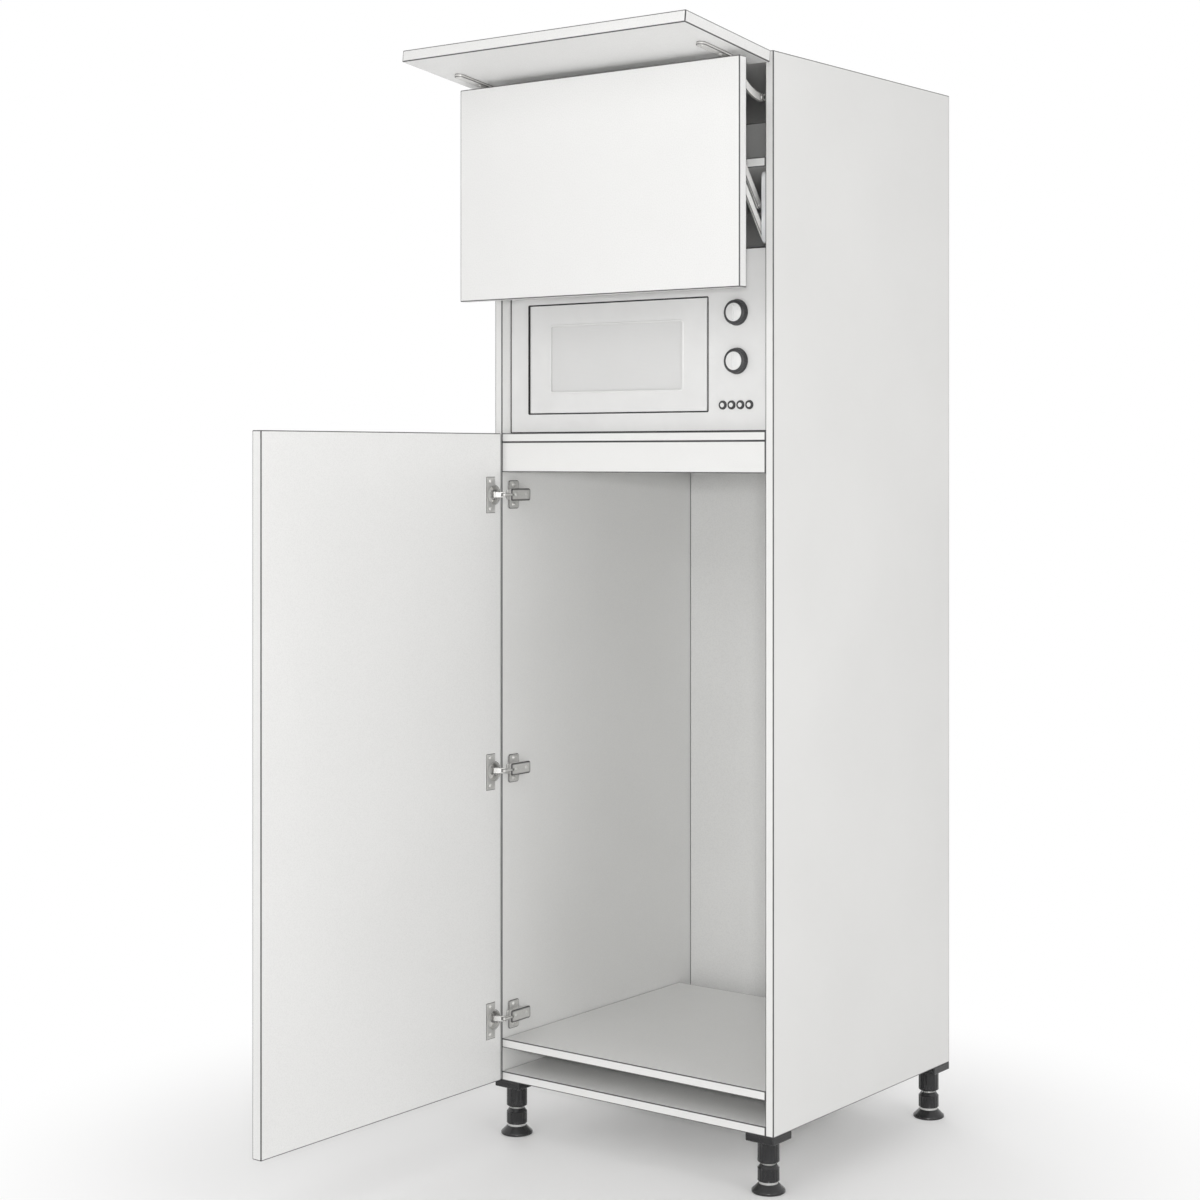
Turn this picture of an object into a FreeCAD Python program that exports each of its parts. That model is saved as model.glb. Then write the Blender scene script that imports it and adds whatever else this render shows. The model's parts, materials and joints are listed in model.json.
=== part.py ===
"""Tall appliance cabinet with a hinged door, a lifting front, a top flap and a built-in microwave.

Frame: X to the right, Y to the back, Z up, millimetres. The origin lies on the floor under the
middle of the carcass front edge. Every piece is drawn with the fronts closed; the pieces that move
are then posed as the object stands: door open at a right angle, front raised, flap up.
"""
import FreeCAD, Part
import math
import os
import re

SIZES = {
    # carcass
    "width": 600, "depth": 600, "board": 16, "back_board": 8, "overcut": 1,
    "slot_gap": 43, "fridge_niche": 1025, "rail_drop": 54, "oven_head": 131, "upper_niche": 159,
    "vent_gap": 40, "wall_rail_tall": 80, "wall_hole": 3, "wall_hole_inset": 100,
    "shelf_pin": 2.5, "shelf_pin_long": 18, "shelf_pin_deep": 10, "shelf_pin_inset": 60,
    # feet
    "foot_height": 100, "foot_inset": 28, "foot_plate": 56, "foot_plate_thick": 13,
    "sleeve_radius": 18.5, "foot_gap": 5, "stem_radius": 12, "stem_gap": 0.3, "stem_cap": 4,
    "collar_low": 19, "neck_low": 15, "neck_inset": 2, "collar_long": 27, "collar_chamfer": 4,
    "disc_radius": 28.5, "disc_rim": 5,
    # fronts
    "front_board": 20, "front_gap": 2, "front_joint": 3, "edge_reveal": 1.5, "flap_joint": 5,
    "lift_cover": 68, "door_angle": 90, "flap_angle": 97, "link_share": 0.38,
    # concealed hinges: "in" is from the front's hinge edge, "out" is forward of the carcass
    "link_pin_in": 28, "link_pin_out": 9.5, "cup_pin_in": 10.5, "cup_pin_out": 7.5,
    "cup_edge": 3, "cup_radius": 17.5, "cup_depth": 13, "cup_wall": 1.2, "cup_floor": 1,
    "flange_wide": 24, "flange_tall": 65, "flange_thick": 1.5, "flange_shift": 9.5, "cup_lip": 1,
    "lug_wide": 6, "lug_thick": 2.5, "lug_gap": 0.4, "lug_rise": 3,
    "hinge_pin": 1.25, "run_gap": 0.05, "link_half": 5, "link_plate": 2, "link_eye": 2.6,
    "fork_gap": 0.3, "fork_reach": 5.5, "nose_half": 2.4, "nose_eye": 3,
    "arm_half": 11, "arm_front": 8, "arm_back": 62, "neck_back": 14,
    "plate_half": 25.5, "plate_front": 16, "plate_back": 45, "wing_thick": 3,
    "plate_rise": 8, "rib_half": 9, "rib_front": 12, "rib_back": 56,
    "hinge_low": 113, "hinge_mid": 560, "hinge_high": 111, "flap_hinge_inset": 120,
    # lift of the lower front: two arms a side that stay parallel
    "lift_out": 76, "lift_clear": 19.5, "lift_pivot_back": 12, "lift_pivot_drop": 112, "lift_pitch": 50,
    "lift_arm_wide": 13, "lift_arm_thick": 4, "lift_pin": 3, "open_gap": 0.3, "layer_gap": 0.5,
    "lift_box_thick": 10, "lift_box_deep": 150, "lift_box_tall": 120, "lift_box_front": 2,
    "lift_box_drop": 6, "box_round": 10,
    "bracket_thick": 3, "bracket_lip": 7, "bracket_end": 12, "bracket_foot": 22, "bracket_foot_thick": 2.5,
    # stay of the flap: a lever and a curved link on each side
    "stay_pivot_back": 62, "stay_pivot_drop": 58.5, "stay_pin_down": 56, "stay_pin_behind": 9,
    "stay_box_thick": 8, "stay_box_half": 26, "stay_arm_wide": 14, "stay_arm_thick": 4, "stay_pin": 3,
    "stay_bow": 13, "stay_play": 2.2, "bar_wide": 18, "bar_thick": 5, "bar_start": 40, "bar_end": 148,
    "stay_lug_half": 6, "stay_lug_thick": 6,
    # microwave
    "oven_recess": 25, "oven_side_gap": 1, "oven_tall": 308, "oven_low_gap": 1, "fascia_thick": 14,
    "fascia_wall": 3, "casing_side": 14, "casing_deep": 400, "casing_wall": 1.2, "casing_front": 2,
    "casing_low": 6, "casing_drop": 6, "cavity_margin": 15, "cavity_rise": 8, "cavity_drop": 6,
    "cavity_deep": 330, "cavity_wall": 1.5, "mouth_lip": 8,
    "oven_door_margin": 43, "oven_door_low": 36, "oven_panel_wide": 133, "oven_brow": 80,
    "oven_door_thick": 14, "oven_door_proud": 2, "oven_door_gap": 1.5, "oven_glass_thick": 4,
    "window_side": 50, "window_edge": 36, "glass_lap": 6, "glass_cover": 2,
    "oven_pin": 2, "oven_pin_fix": 8, "oven_pin_door": 10,
    "control_inset": 11, "control_wide": 109, "control_low": 24, "control_drop": 22,
    "control_thick": 7.7,
    "knob_inset": 72, "knob_high": 201, "knob_low": 119, "knob_radius": 22.5, "knob_top": 20.5,
    "knob_long": 11, "knob_gap": 0.3, "knob_stem": 4, "knob_stem_long": 12,
    "knob_fin": 5, "knob_fin_rise": 3,
    "button_inset": 47, "button_pitch": 18, "button_up": 45, "button_radius": 7.5,
    "button_proud": 3, "button_gap": 0.3, "button_collar": 8.6, "button_collar_thick": 0.7,
    "plate_radius": 140, "plate_thick": 5, "plate_rim": 9, "plate_dish": 1.6, "plate_lift": 14,
    "hub_radius": 14, "spindle": 4, "motor_radius": 26, "spindle_hole": 5,
    "oven_foot": 14, "oven_foot_inset": 40,
}
NAME = re.compile(r"[a-z]+(?:_[a-z]+)*")
RIGHT, LEFT = 1, -1
SIDES = {"right": RIGHT, "left": LEFT}

doc = FreeCAD.newDocument("tall_appliance_cabinet")
sheet = doc.addObject("Spreadsheet::Sheet", "dims")
for row, (alias, number) in enumerate(SIZES.items(), 1):
    sheet.set(f"A{row}", alias)
    sheet.set(f"B{row}", str(number))
    sheet.setAlias(f"B{row}", alias)
doc.recompute()

# Heights that many pieces share, written once as expressions
FLOOR_UNDER = "(foot_height + board + slot_gap)"
NICHE = "(foot_height + 2 * board + slot_gap)"
RAIL = f"({NICHE} + fridge_niche)"
OVEN_SHELF = f"({RAIL} + rail_drop)"
OVEN = f"({OVEN_SHELF} + board)"
UPPER = f"({OVEN} + oven_tall + oven_head)"
TOP = f"({UPPER} + upper_niche + 2 * board)"
SLEEVE = "(foot_height - foot_plate_thick - foot_gap - collar_low - collar_long)"
INNER = "(width / 2 - board)"
CLEAR = "(width - 2 * board)"
BACK = "(depth - back_board)"
FLAP_TOP = f"({TOP} - edge_reveal)"
LIFT_LOW = f"({OVEN} + front_joint)"
LIFT_TALL = "(oven_tall + lift_cover)"
FLAP_LOW = f"({LIFT_LOW} + {LIFT_TALL} + flap_joint)"
LIFT_PIVOT = f"({UPPER} - lift_pivot_drop)"
LIFT_UP = f"({FLAP_TOP} - {LIFT_LOW} - {LIFT_TALL} - lift_clear)"
LIFT_ARM = f"(lift_out / sin(2 * atan(lift_out / {LIFT_UP})))"

nodes = []


def size(alias):
    """The number in the sheet's cell of that name."""
    return float(sheet.get(alias))


def bound(text):
    """The expression with each size's name turned into a reference to its cell."""
    return NAME.sub(lambda word: f"dims.{word[0]}" if word[0] in SIZES else word[0], text)


def at(thing, x, y, z):
    """Bind a primitive's place."""
    for axis, text in zip("xyz", (x, y, z)):
        thing.setExpression(f"Placement.Base.{axis}", bound(text))
    return thing


def box(name, x, y, z, long, deep, tall):
    """A block from its least corner."""
    block = doc.addObject("Part::Box", name)
    for prop, text in zip(("Length", "Width", "Height"), (long, deep, tall)):
        block.setExpression(prop, bound(text))
    return at(block, x, y, z)


TURNS = {
    "x": FreeCAD.Rotation(FreeCAD.Vector(0, 1, 0), 90),
    "y": FreeCAD.Rotation(FreeCAD.Vector(1, 0, 0), -90),
    "z": FreeCAD.Rotation(),
}


def rod(name, axis, x, y, z, radius, long):
    """A cylinder from the middle of its first end, along one axis."""
    bar = doc.addObject("Part::Cylinder", name)
    bar.Placement = FreeCAD.Placement(FreeCAD.Vector(), TURNS[axis])
    bar.setExpression("Radius", bound(radius))
    bar.setExpression("Height", bound(long))
    return at(bar, x, y, z)


def rounded(name, x, y, z, thick, deep, tall, corner):
    """A flat case along X from its least corner, its four edges along X rounded."""
    far_y = f"{y} + {deep} - {corner}"
    far_z = f"{z} + {tall} - {corner}"
    corners = [
        rod(f"{name}_corner_{row}{column}", "x", x, side_y, side_z, corner, thick)
        for row, side_y in enumerate((f"{y} + {corner}", far_y))
        for column, side_z in enumerate((f"{z} + {corner}", far_z))
    ]
    return fuse(
        name,
        box(f"{name}_long", x, y, f"{z} + {corner}", thick, deep, f"{tall} - 2 * {corner}"),
        box(f"{name}_tall", x, f"{y} + {corner}", z, thick, f"{deep} - 2 * {corner}", tall),
        *corners,
    )


def cone(name, axis, x, y, z, first, last, long):
    """A cone from the middle of its first end, along one axis."""
    taper = doc.addObject("Part::Cone", name)
    taper.Placement = FreeCAD.Placement(FreeCAD.Vector(), TURNS[axis])
    taper.setExpression("Radius1", bound(first))
    taper.setExpression("Radius2", bound(last))
    taper.setExpression("Height", bound(long))
    return at(taper, x, y, z)


def fuse(name, *things):
    """One solid from several."""
    joined = doc.addObject("Part::MultiFuse", name)
    joined.Shapes = list(things)
    joined.Refine = True
    return joined


def cut(name, base, *tools):
    """The base with the tools taken out of it."""
    less = doc.addObject("Part::Cut", name)
    less.Base = base
    less.Tool = tools[0] if len(tools) == 1 else fuse(name + "_tools", *tools)
    return less


def group(name, things):
    """Several solids that share a node."""
    pack = doc.addObject("Part::Compound", name)
    pack.Links = list(things)
    return pack


def node(label, thing, pose=None):
    """Name a finished sub-part and, if it moves, pose it."""
    thing.Label = label
    if pose is not None:
        thing.Placement = pose
    nodes.append(thing)
    return thing


def bar(name, long, wide, thick, first_hole, last_hole, first_eye=None, last_eye=None):
    """A flat link along X from one eye to the other, with its thickness along +Z."""
    first_eye = first_eye or f"({wide}) / 2"
    last_eye = last_eye or f"({wide}) / 2"
    body = fuse(
        name + "_body",
        box(name + "_web", "0", f"-({wide}) / 2", "0", long, wide, thick),
        rod(name + "_first", "z", "0", "0", "0", first_eye, thick),
        rod(name + "_last", "z", long, "0", "0", last_eye, thick),
    )
    return cut(
        name,
        body,
        rod(name + "_hole_first", "z", "0", "0", "-overcut", first_hole, f"({thick}) + 2 * overcut"),
        rod(name + "_hole_last", "z", long, "0", "-overcut", last_hole, f"({thick}) + 2 * overcut"),
    )


def layer(side, inset, thick):
    """Where a slice of a side begins in X: inset from the side panel's inner face."""
    if side == RIGHT:
        return f"{INNER} - ({inset}) - ({thick})"
    return f"-{INNER} + ({inset})"


def layer_number(side, inset, thick):
    """The same place as a number, for pieces that are turned."""
    inner = size("width") / 2 - size("board")
    return inner - inset - thick if side == RIGHT else -inner + inset


def across(x, forward, up, degrees):
    """A flat link stood in a side's plane: its length points forward and turns upward by degrees."""
    stand = FreeCAD.Rotation(
        FreeCAD.Vector(0, -1, 0), FreeCAD.Vector(0, 0, -1), FreeCAD.Vector(1, 0, 0), "XYZ"
    )
    lean = FreeCAD.Rotation(FreeCAD.Vector(-1, 0, 0), degrees)
    return FreeCAD.Placement(FreeCAD.Vector(x, -forward, up), lean.multiply(stand))


def turn(axis, degrees, centre):
    """A pose that turns about a line through the centre."""
    return FreeCAD.Placement(FreeCAD.Vector(), FreeCAD.Rotation(axis, degrees), centre)


# Poses of the moving pieces
oven_floor = (size("foot_height") + 3 * size("board") + size("slot_gap") + size("fridge_niche")
              + size("rail_drop"))
upper_under = oven_floor + size("oven_tall") + size("oven_head")
door_edge = -size("width") / 2 + size("edge_reveal")
flap_top = upper_under + size("upper_niche") + 2 * size("board") - size("edge_reveal")
AXES = {"door": FreeCAD.Vector(0, 0, -1), "flap": FreeCAD.Vector(-1, 0, 0)}


def hinge_point(front, inward, outward):
    """A hinge pin's place with the front closed, from its distance in from the edge and out."""
    if front == "door":
        return FreeCAD.Vector(door_edge + size(inward), -size(outward), 0)
    return FreeCAD.Vector(0, -size(outward), flap_top - size(inward))


def link_pose(front, degrees):
    """Where a front's hinge links lie when the front is open by that angle: they turn back a little."""
    return turn(AXES[front], -size("link_share") * degrees, hinge_point(front, "link_pin_in", "link_pin_out"))


def front_pose(front, degrees):
    """Where a front lies when it is open by that angle."""
    swing = (1 + size("link_share")) * degrees
    about_cup = turn(AXES[front], swing, hinge_point(front, "cup_pin_in", "cup_pin_out"))
    return link_pose(front, degrees).multiply(about_cup)


door_pose = front_pose("door", size("door_angle"))
flap_pose = front_pose("flap", size("flap_angle"))
lift_up = (flap_top - oven_floor - size("front_joint") - size("oven_tall") - size("lift_cover")
           - size("lift_clear"))
lift_half_turn = math.atan(size("lift_out") / lift_up)
lift_turn = 180 - 2 * math.degrees(lift_half_turn)
lift_arm = size("lift_out") / math.sin(2 * lift_half_turn)
lift_pose = FreeCAD.Placement(FreeCAD.Vector(0, -size("lift_out"), lift_up), FreeCAD.Rotation())


def build_carcass():
    """Boards of the carcass, each its own piece."""
    for side, name in ((LEFT, "left"), (RIGHT, "right")):
        start = "-width / 2" if side == LEFT else INNER
        hole = f"-{INNER} - shelf_pin_deep" if side == LEFT else INNER
        holes = [
            rod(f"{name}_pin_hole_{end}", "x", hole, y, f"{UPPER} - shelf_pin", "shelf_pin", "shelf_pin_deep")
            for end, y in (("front", "shelf_pin_inset"), ("back", f"{BACK} - shelf_pin_inset"))
        ]
        panel = box(f"{name}_board", start, "0", "foot_height", "board", "depth", f"{TOP} - foot_height")
        node(f"{name}_side_panel", cut(f"{name}_panel", panel, *holes))

    def between(label, y, z, deep, tall):
        return box(label + "_board", f"-{INNER}", y, z, CLEAR, deep, tall)

    node("top_panel", between("top_panel", "0", f"{TOP} - board", "depth", "board"))
    node("bottom_panel", between("bottom_panel", "0", "foot_height", "depth", "board"))
    node("appliance_floor", between("appliance_floor", "0", FLOOR_UNDER, f"{BACK} - vent_gap", "board"))
    node("cross_rail", between("cross_rail", "0", RAIL, "board", "rail_drop"))
    node("microwave_shelf", between("microwave_shelf", "0", OVEN_SHELF, f"{BACK} - vent_gap", "board"))
    node("upper_shelf", between("upper_shelf", "0", UPPER, BACK, "board"))
    rail_y = f"{BACK} - board"
    rail_z = f"{TOP} - board - wall_rail_tall"
    bores = [
        rod(f"wall_bore_{name}", "y", f"{side} * (width / 2 - wall_hole_inset)", f"{rail_y} - overcut",
            f"{rail_z} + wall_rail_tall / 2", "wall_hole", "board + back_board + 2 * overcut")
        for name, side in SIDES.items()
    ]
    back = between("back_panel", BACK, "foot_height + board", "back_board",
                   f"{TOP} - foot_height - 2 * board")
    node("back_panel", cut("back_panel_bored", back, *bores))
    rail = between("wall_rail", rail_y, rail_z, "board", "wall_rail_tall")
    node("wall_rail", cut("wall_rail_bored", rail, *bores))
    pins = []
    for name, side in SIDES.items():
        start = f"-{INNER} - shelf_pin_deep" if side == LEFT else f"{INNER} + shelf_pin_deep - shelf_pin_long"
        for end, y in (("front", "shelf_pin_inset"), ("back", f"{BACK} - shelf_pin_inset")):
            pins.append(rod(f"shelf_pin_{name}_{end}", "x", start, y, f"{UPPER} - shelf_pin", "shelf_pin",
                            "shelf_pin_long"))
    node("shelf_pins", group("shelf_pin_set", pins))


def build_feet():
    """A socket under each corner and the foot that screws into it."""
    sockets = []
    for name, side in SIDES.items():
        for end, y in (("front", "foot_inset"), ("back", "depth - foot_inset")):
            tag = f"{end}_{name}"
            x = f"{side} * (width / 2 - foot_inset)"
            plate = box(f"foot_plate_{tag}", f"{x} - foot_plate / 2", f"{y} - foot_plate / 2",
                        "foot_height - foot_plate_thick", "foot_plate", "foot_plate", "foot_plate_thick")
            sleeve_low = f"foot_height - foot_plate_thick - {SLEEVE}"
            sleeve = rod(f"foot_sleeve_{tag}", "z", x, y, sleeve_low, "sleeve_radius", f"{SLEEVE} + overcut")
            bore = rod(f"foot_bore_{tag}", "z", x, y, f"{sleeve_low} - overcut", "stem_radius + stem_gap",
                       f"{SLEEVE} + foot_plate_thick - stem_cap + overcut")
            sockets.append(cut(f"foot_socket_{tag}", fuse(f"foot_socket_solid_{tag}", plate, sleeve), bore))
            rim = rod(f"foot_rim_{tag}", "z", x, y, "0", "disc_radius", "disc_rim")
            flare = cone(f"foot_flare_{tag}", "z", x, y, "disc_rim", "disc_radius", "sleeve_radius",
                         "neck_low - disc_rim")
            neck = rod(f"foot_neck_{tag}", "z", x, y, "neck_low", "sleeve_radius - neck_inset",
                       "collar_low - neck_low")
            collar = rod(f"foot_collar_{tag}", "z", x, y, "collar_low", "sleeve_radius",
                         "collar_long - collar_chamfer")
            chamfer = cone(f"foot_chamfer_{tag}", "z", x, y, "collar_low + collar_long - collar_chamfer",
                           "sleeve_radius", "sleeve_radius - collar_chamfer", "collar_chamfer")
            stem = rod(f"foot_stem_{tag}", "z", x, y, "collar_low", "stem_radius",
                       "foot_height - stem_cap - stem_gap - collar_low")
            node(f"foot_{tag}", fuse(f"foot_solid_{tag}", rim, flare, neck, collar, chamfer, stem))
    node("foot_sockets", group("foot_socket_set", sockets))


def hinge_pieces(tag, spot):
    """One concealed hinge at a spot: X runs in from the front's edge, Y forward, Z along the pin."""
    middle = "(cup_edge + cup_radius)"
    shell = fuse(
        f"cup_solid_{tag}",
        rod(f"cup_drum_{tag}", "y", middle, "front_gap", "0", "cup_radius", "cup_depth"),
        rod(f"cup_rim_{tag}", "y", middle, "front_gap - flange_thick", "0", "cup_radius + cup_lip",
            "flange_thick"),
        box(f"cup_flange_{tag}", f"{middle} + flange_shift - flange_wide / 2", "front_gap - flange_thick",
            "-flange_tall / 2", "flange_wide", "flange_thick", "flange_tall"),
    )
    well = rod(f"cup_well_{tag}", "y", middle, "front_gap - flange_thick - overcut", "0",
               "cup_radius - cup_wall", "flange_thick + overcut + cup_depth - cup_floor")
    lugs = [
        box(f"cup_lug_{side}_{tag}", "cup_pin_in - lug_wide / 2", "cup_pin_out - lug_rise",
            "link_half + lug_gap" if side == "far" else "-link_half - lug_gap - lug_thick",
            "lug_wide", "front_gap + cup_depth - cup_floor / 2 - cup_pin_out + lug_rise", "lug_thick")
        for side in ("near", "far")
    ]
    pin_half = "(link_half + lug_gap + lug_thick)"
    pin_hole = rod(f"cup_pin_hole_{tag}", "z", "cup_pin_in", "cup_pin_out", f"-{pin_half} - overcut",
                   "hinge_pin", f"2 * {pin_half} + 2 * overcut")
    # the rim is open towards the edge, where the link swings over it
    gate = box(f"cup_gate_{tag}", "cup_edge - cup_lip - overcut", "front_gap - flange_thick - overcut",
               "-link_half - lug_gap", "cup_radius", "flange_thick + overcut", "2 * (link_half + lug_gap)")
    lugged = fuse(f"cup_lugged_{tag}", cut(f"cup_open_{tag}", shell, well, gate), *lugs)
    cup = cut(f"cup_{tag}", lugged, pin_hole)
    cup_pin = group(f"cup_pin_at_{tag}", [
        rod(f"cup_pin_{tag}", "z", "cup_pin_in", "cup_pin_out", f"-{pin_half}", "hinge_pin",
            f"2 * {pin_half}")
    ])

    reach = "sqrt((link_pin_in - cup_pin_in) ^ 2 + (link_pin_out - cup_pin_out) ^ 2)"
    strap = bar(f"link_strap_{tag}", reach, "link_plate", "2 * link_half", "hinge_pin + run_gap",
                "hinge_pin + run_gap", "link_eye", "link_eye")
    fork = rod(f"link_fork_{tag}", "z", reach, "0", "link_half - nose_half - fork_gap", "fork_reach",
               "2 * (nose_half + fork_gap)")
    link = cut(f"link_{tag}", strap, fork)
    rise = math.degrees(math.atan2(
        size("link_pin_out") - size("cup_pin_out"), size("link_pin_in") - size("cup_pin_in")
    ))
    link_spot = FreeCAD.Placement(
        FreeCAD.Vector(size("cup_pin_in"), size("cup_pin_out"), -size("link_half")),
        FreeCAD.Rotation(FreeCAD.Vector(0, 0, 1), rise),
    )

    seat = "(board - edge_reveal)"
    arm = cut(
        f"arm_{tag}",
        fuse(
            f"arm_solid_{tag}",
            rod(f"arm_nose_{tag}", "z", "link_pin_in", "link_pin_out", "-nose_half", "nose_eye",
                "2 * nose_half"),
            box(f"arm_neck_{tag}", "link_pin_in - nose_eye", "-neck_back", "-nose_half", "2 * nose_eye",
                "neck_back + link_pin_out", "2 * nose_half"),
            box(f"arm_body_{tag}", f"{seat} + plate_rise", "-arm_back", "-arm_half",
                f"link_pin_in + nose_eye - {seat} - plate_rise", "arm_back - arm_front", "2 * arm_half"),
        ),
        rod(f"arm_pin_hole_{tag}", "z", "link_pin_in", "link_pin_out", "-nose_half - overcut", "hinge_pin",
            "2 * nose_half + 2 * overcut"),
    )
    arm_pin = group(f"arm_pin_at_{tag}", [
        rod(f"arm_pin_{tag}", "z", "link_pin_in", "link_pin_out", "-link_half", "hinge_pin", "2 * link_half")
    ])
    plate = fuse(
        f"plate_{tag}",
        box(f"plate_wing_{tag}", seat, "-plate_back", "-plate_half", "wing_thick", "plate_back - plate_front",
            "2 * plate_half"),
        box(f"plate_rib_{tag}", seat, "-rib_back", "-rib_half", "plate_rise", "rib_back - rib_front",
            "2 * rib_half"),
    )
    for piece in (cup, cup_pin, arm, arm_pin, plate):
        piece.Placement = spot
    link.Placement = spot.multiply(link_spot)
    return {
        "cups": cup, "cup_pins": cup_pin, "links": link, "arms": arm, "arm_pins": arm_pin, "plates": plate,
    }


def build_hinges(prefix, spots, with_front, with_links):
    """A front's hinges, each kind of piece in one node."""
    sets = [hinge_pieces(f"{prefix}_{tag}", spot) for tag, spot in spots.items()]
    kinds = {
        "hinge_cups": ("cups", with_front), "cup_pins": ("cup_pins", with_front),
        "hinge_links": ("links", with_links), "hinge_arms": ("arms", None),
        "arm_pins": ("arm_pins", None), "hinge_plates": ("plates", None),
    }
    for label, (kind, pose) in kinds.items():
        node(f"{prefix}_{label}", group(f"{prefix}_{label}_set", [pieces[kind] for pieces in sets]), pose)


def build_door():
    """The door of the refrigerator niche, hung on three concealed hinges."""
    low = "(foot_height + edge_reveal)"
    heights = {
        "low": f"{low} + hinge_low", "mid": f"{low} + hinge_mid", "high": f"{OVEN} - hinge_high",
    }
    panel = box("door_board", "-width / 2 + edge_reveal", "-front_gap - front_board", low,
                "width - 2 * edge_reveal", "front_board", f"{OVEN} - {low}")
    wells = [
        rod(f"door_well_{tag}", "y", "-width / 2 + edge_reveal + cup_edge + cup_radius",
            "-front_gap - cup_depth", z, "cup_radius", "cup_depth + overcut")
        for tag, z in heights.items()
    ]
    node("door_panel", cut("door_drilled", panel, *wells), door_pose)
    flip = FreeCAD.Rotation(FreeCAD.Vector(1, 0, 0), 180)
    door_low = size("foot_height") + size("edge_reveal")
    levels = {
        "low": door_low + size("hinge_low"), "mid": door_low + size("hinge_mid"),
        "high": oven_floor - size("hinge_high"),
    }
    spots = {tag: FreeCAD.Placement(FreeCAD.Vector(door_edge, 0, z), flip) for tag, z in levels.items()}
    build_hinges("door", spots, door_pose, link_pose("door", size("door_angle")))


def build_flap():
    """The flap at the top, hung on two concealed hinges under the top panel."""
    panel = box("flap_board", "-width / 2 + edge_reveal", "-front_gap - front_board", FLAP_LOW,
                "width - 2 * edge_reveal", "front_board", f"{FLAP_TOP} - {FLAP_LOW}")
    wells = [
        rod(f"flap_well_{name}", "y", f"{side} * (width / 2 - flap_hinge_inset)", "-front_gap - cup_depth",
            f"{FLAP_TOP} - cup_edge - cup_radius", "cup_radius", "cup_depth + overcut")
        for name, side in SIDES.items()
    ]
    node("flap_panel", cut("flap_drilled", panel, *wells), flap_pose)
    hang = FreeCAD.Rotation(
        FreeCAD.Vector(0, 0, -1), FreeCAD.Vector(0, -1, 0), FreeCAD.Vector(-1, 0, 0), "XYZ"
    )
    from_middle = size("width") / 2 - size("flap_hinge_inset")
    spots = {
        name: FreeCAD.Placement(FreeCAD.Vector(side * from_middle, 0, flap_top), hang)
        for name, side in SIDES.items()
    }
    build_hinges("flap", spots, flap_pose, link_pose("flap", size("flap_angle")))


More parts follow.
